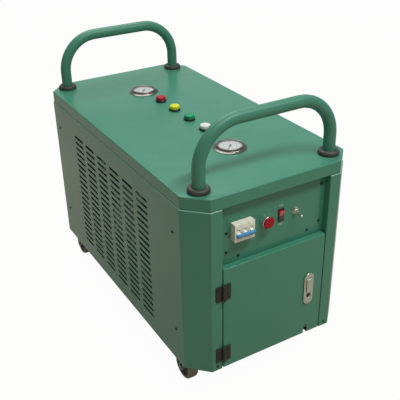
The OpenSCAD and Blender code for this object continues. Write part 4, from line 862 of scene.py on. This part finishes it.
turned([(0, -21), (6.0, -21), (plug_r, -20.4), (plug_r, -1.4), (0, -1.4)], plug, steps=32)
piece("lock_key_plug", plug_steel_painted_shade, "door_latch", "nickel", "lock_plug")
dress(drawn_steel, "lock_cam")

# Lid: a folded tray of 2 mm sheet with a deep skirt and welded corners, turned over the cabinet.
# It is punched for the handle legs, the gauges and the lamps, and rests on the uprights.
lid_low, lid_high, lid_bend, lid_ease, lid_gap = 550, 580, 3.0, 8, 2
leg_x, leg_y, gauge_y, lamp_x = half_width - corner_cut, half_depth - corner_cut, 236, 6
lamp_places = {"red": 138, "yellow": 56, "green": -26, "white": -108}
plan = inset(eased([(-leg_x, -half_depth), (leg_x, -half_depth), (half_width, -leg_y), (half_width, leg_y),
                    (leg_x, half_depth), (-leg_x, half_depth), (-half_width, leg_y), (-half_width, -leg_y)],
                   lid_ease), lid_gap)
rows = [[(x, y, lid_low) for x, y in plan]]
for drop, way_in in fold_line(lid_bend, 5):
    rows.append([(x, y, lid_high - drop) for x, y in inset(plan, way_in)])
rings = [put(rows)[-1]]
cuts = [(x, y, 15.4) for x in (-leg_x, leg_x) for y in (-leg_y, leg_y)]
cuts += [(0, y, 31.5) for y in (-gauge_y, gauge_y)] + [(lamp_x, y, 11.3) for y in lamp_places.values()]
for x, y, r in cuts:
    rings.append([bench.verts.new((px, py, lid_high)) for px, py in circle_line(r, x, y)])
fill(rings)
piece("lid_sheet", green, "cabinet", "paint", "top_lid", sheet=2)

# Handles: steel tube bent to a U, enamelled in a slightly deeper green, its legs down inside the uprights.
# A rubber collar covers the hole round each leg.
handle_green = finish(
    "green_enamel", (0.05, 0.2, 0.136), (0.06, 0.222, 0.152), 0.4, fine=700, broad=9, relief=0.07,
    spread=0.06, dust=0.03, specks=(0.12, 0.3, 0.22), Specular_IOR_Level=0.32)
collar_rubber = finish(
    "collar_rubber", (0.026, 0.025, 0.024), (0.045, 0.043, 0.041), 0.55, fine=1500, broad=30, relief=0.2,
    dust=0.12)
tube, bend, bar_z, leg_foot = 15, 100, 730, 520
for name, y in (("front", -leg_y), ("rear", leg_y)):
    line = [(-leg_x, leg_foot, 0), (-leg_x, lid_high - 5, 0)]
    for a in [pi / 2 * k / 24 for k in range(25)]:
        line.append((-leg_x + bend * (1 - cos(a)), bar_z - bend + bend * sin(a), a))
    line += [(-x, z, pi - a) for x, z, a in reversed(line)]
    section = circle_line(tube, steps=40)
    put([[(x - cos(a) * u, y + v, z + sin(a) * u) for u, v in section] for x, z, a in line], ends=(0, -1))
    piece(name + "_tube_handle", handle_green, "cabinet", "handle_paint", name + "_handle")
    for x in (-leg_x, leg_x):
        turned([(15.1, 0), (25.2, 0), (26, 0.8), (26, 5.6), (25.4, 8.2), (23.6, 10.4), (21, 11.7),
                (18.6, 12), (16.6, 11.6), (15.1, 10.2)], at(x, y, lid_high), steps=56, ring=True)
    piece(name + "_collar_pair", collar_rubber, "cabinet", "rubber", "handle_collars")

# Gauges: polished steel cases let into the lid by a flange, each with a white dial, a needle and a low glass.
# Scales run clockwise from the lower left and are generic.
dial_white = finish(
    "dial_white", (0.5, 0.51, 0.51), (0.56, 0.57, 0.57), 0.45, fine=2000, broad=40, relief=0.04)
print_black = finish(
    "dial_print", (0.012, 0.012, 0.012), (0.022, 0.022, 0.022), 0.5, fine=2500, broad=80, relief=0.05)
print_red = finish(
    "dial_red_print", (0.45, 0.02, 0.02), (0.52, 0.03, 0.03), 0.5, fine=2500, broad=80, relief=0.05)
gauge_glass = finish(
    "gauge_glass", (0.8, 0.84, 0.85), (0.86, 0.89, 0.9), 0.05, fine=300, broad=20, relief=0.01, spread=0.03,
    Alpha=0.12, coat=1.0)
# The cases' pale edge tone is a painted highlight along their rims.
gauge_steel = finish(
    "gauge_steel", (0.13, 0.12, 0.11), (0.2, 0.19, 0.175), 0.3, metal=1.0, fine=500, broad=14, relief=0.03,
    spread=0.06, edge=(0.62, 0.6, 0.57), edge_radius=0.001)
dial_top, dial_r, number_r, number_height = 4, 29.8, 21.4, 4.6
scale_start, scale_sweep, marks, fives, tens = 225, 270, 50, 5, 10
glass_r, glass_low, glass_edge, glass_rise = 29.9, 6.5, 7.3, 1.3
scales = (("outer", print_black, 28.4, 1.7, True), ("inner", print_red, 17.6, 1.2, False))
for name, y in (("front", -gauge_y), ("rear", gauge_y)):
    here = at(0, y, lid_high)
    turned([(0, -30), (30.2, -30), (31, -29.2), (31, -0.2), (41.2, 0), (42, 0.7), (41.8, 1.5), (40.8, 2),
            (37.2, 3.1), (35.6, 4.2), (34.9, 6), (34.5, 7.6), (33.6, 8.7), (32.3, 9), (31, 8.8),
            (30.3, 8.2), (30.2, 3), (0, 3)], here, steps=72)
    slab(hexagon(9), -38, -29.8, edge=0.5, place=here)
    turned([(0, -52), (5.6, -52), (6.5, -51), (6.5, -37.8), (0, -37.8)], here, steps=32)
    turned([(0, 2.8), (1.2, 2.8), (1.2, 5.5), (0, 5.6)], here, steps=16)
    piece(name + "_gauge_case", gauge_steel, "cabinet", "chrome", "gauge_cases")
    slab(circle_line(dial_r, steps=64), 3, dial_top, edge=0.15, holes=[circle_line(1.5, steps=16)],
         place=here)
    piece(name + "_gauge_dial", dial_white, "cabinet", "dial", "gauge_dials")
    for label, ink, rim_r, minor, numbered in scales:
        for k in range(marks + 1):
            long = minor * (2.2 if k % tens == 0 else 1.5 if k % fives == 0 else 1)
            mark = box_line(long, 0.5 if k % fives else 0.8, rim_r - long / 2, 0)
            spin = radians(scale_start - scale_sweep * k / marks)
            slab(spun(mark, spin), dial_top - 0.01, dial_top + 0.05, edge=0.01, steps=1, place=here)
        last, first = radians(scale_start - scale_sweep), radians(scale_start)
        band = arc(rim_r, last, first, 48) + arc(rim_r - 0.35, first, last, 48)
        slab(band, dial_top - 0.01, dial_top + 0.04, edge=0.01, steps=1, place=here)
        if numbered:
            for k in range(marks // tens + 1):
                spin = radians(scale_start - scale_sweep * tens * k / marks)
                place = at(number_r * cos(spin), y + number_r * sin(spin), lid_high + dial_top + 0.03)
                letters(str(fives * k), number_height, place)
        slot = "black_metal" if numbered else "red_lens"
        piece(name + "_gauge_" + label + "_scale", ink, "cabinet", slot)
    needle = [(-1.6, -9), (1.6, -9), (1.3, 0), (0.35, 23.5), (-0.35, 23.5), (-1.3, 0)]
    slab(needle, 4.5, 5.2, edge=0.15, place=at(0, y, lid_high, "up", 135))
    turned([(1.26, 4.5), (3.9, 4.5), (4, 4.7), (3.6, 5.6), (1.26, 5.9)], here, steps=32, ring=True)
    piece(name + "_gauge_needle", print_black, name + "_needle", "black_metal", name + "_gauge_pointer")
    dome = [(glass_r * cos(a), glass_edge + glass_rise * sin(a)) for a in [pi / 2 * k / 8 for k in range(8)]]
    turned([(0, glass_low), (glass_r, glass_low)] + dome + [(0, glass_edge + glass_rise)], here, steps=64)
    piece(name + "_gauge_glass", gauge_glass, "cabinet", "clear", "gauge_lenses")

# Pilot lamps: black moulded bodies held by a nut under the lid, in a row between the gauges.
# Each has a cap of coloured plastic, ribbed round its side, pressed on its body.
lens_tones = {"red": ((0.30, 0.002, 0.012), (0.42, 0.005, 0.022)),
              "yellow": ((0.56, 0.58, 0.002), (0.70, 0.74, 0.004)),
              "green": ((0.001, 0.22, 0.080), (0.002, 0.31, 0.120)),
              "white": ((0.62, 0.63, 0.64), (0.70, 0.71, 0.72))}
cap_steps = 72
cap_rings = ((13.6, 6.1, 0), (14, 6.6, 0.3), (13.9, 11.2, 0.3), (13.7, 12.4, 0.1), (13.1, 13.5, 0),
             (12.2, 14.3, 0), (11, 14.8, 0), (9.4, 15, 0), (4, 14.9, 0))
for y in lamp_places.values():
    here = at(lamp_x, y, lid_high)
    turned([(0, -38), (10.4, -38), (11, -37.4), (11, -0.1), (15, 0), (15.5, 0.5), (15.5, 5.4),
            (14.9, 6.2), (0, 6.2)], here)
    slab(hexagon(15), -8.2, -2.2, edge=0.6, holes=[circle_line(11.02)], place=here)
piece("lamp_body_set", black_moulding, "cabinet", "black_plastic", "lamp_bases")
for tone, lamp_y in lamp_places.items():
    lens = finish(tone + "_lamp_lens", *lens_tones[tone], 0.30, fine=1600, broad=90, relief=0.04, spread=0.06,
                  Specular_IOR_Level=0.3)
    rows = []
    for r, h, rib in cap_rings:
        turns = enumerate(circle_line(1, steps=cap_steps))
        rows.append([((r - rib * (k % 2)) * x, (r - rib * (k % 2)) * y, h) for k, (x, y) in turns])
    put(rows, at(lamp_x, lamp_y, lid_high), ends=(0, -1))
    piece(tone + "_lamp_cap", lens, "cabinet", tone + "_lens", tone + "_lamp_lens", crease=50)

# Panel screws: black pan heads with a cross recess, turned into clips behind the sheet.
# They hold the control panel, the feet of the front posts, the side panels and the rear strips.
control_screws = ((-130, 473), (-97, 404), (-130, 422), (102, 408), (137, 424), (137, 525))
strip_screw_x, foot_screw_z, side_screw_y = 165, 112, 354
for x, z in control_screws:
    screw_head(at(x, panel_y, z, "front"))
for x in (-strip_screw_x, strip_screw_x):
    screw_head(at(x, -half_depth, foot_screw_z, "front"))
for facing, x in (("left", -half_width), ("right", half_width)):
    for y in (-side_screw_y, side_screw_y):
        for z in (197, 475):
            screw_head(at(x, y, z, facing))
for x in (-strip_screw_x, strip_screw_x):
    for z in (160, 340, 520):
        screw_head(at(x, half_depth, z, "back"))
piece("panel_screw_heads", black_oxide, "cabinet", "black_metal", "panel_screws")
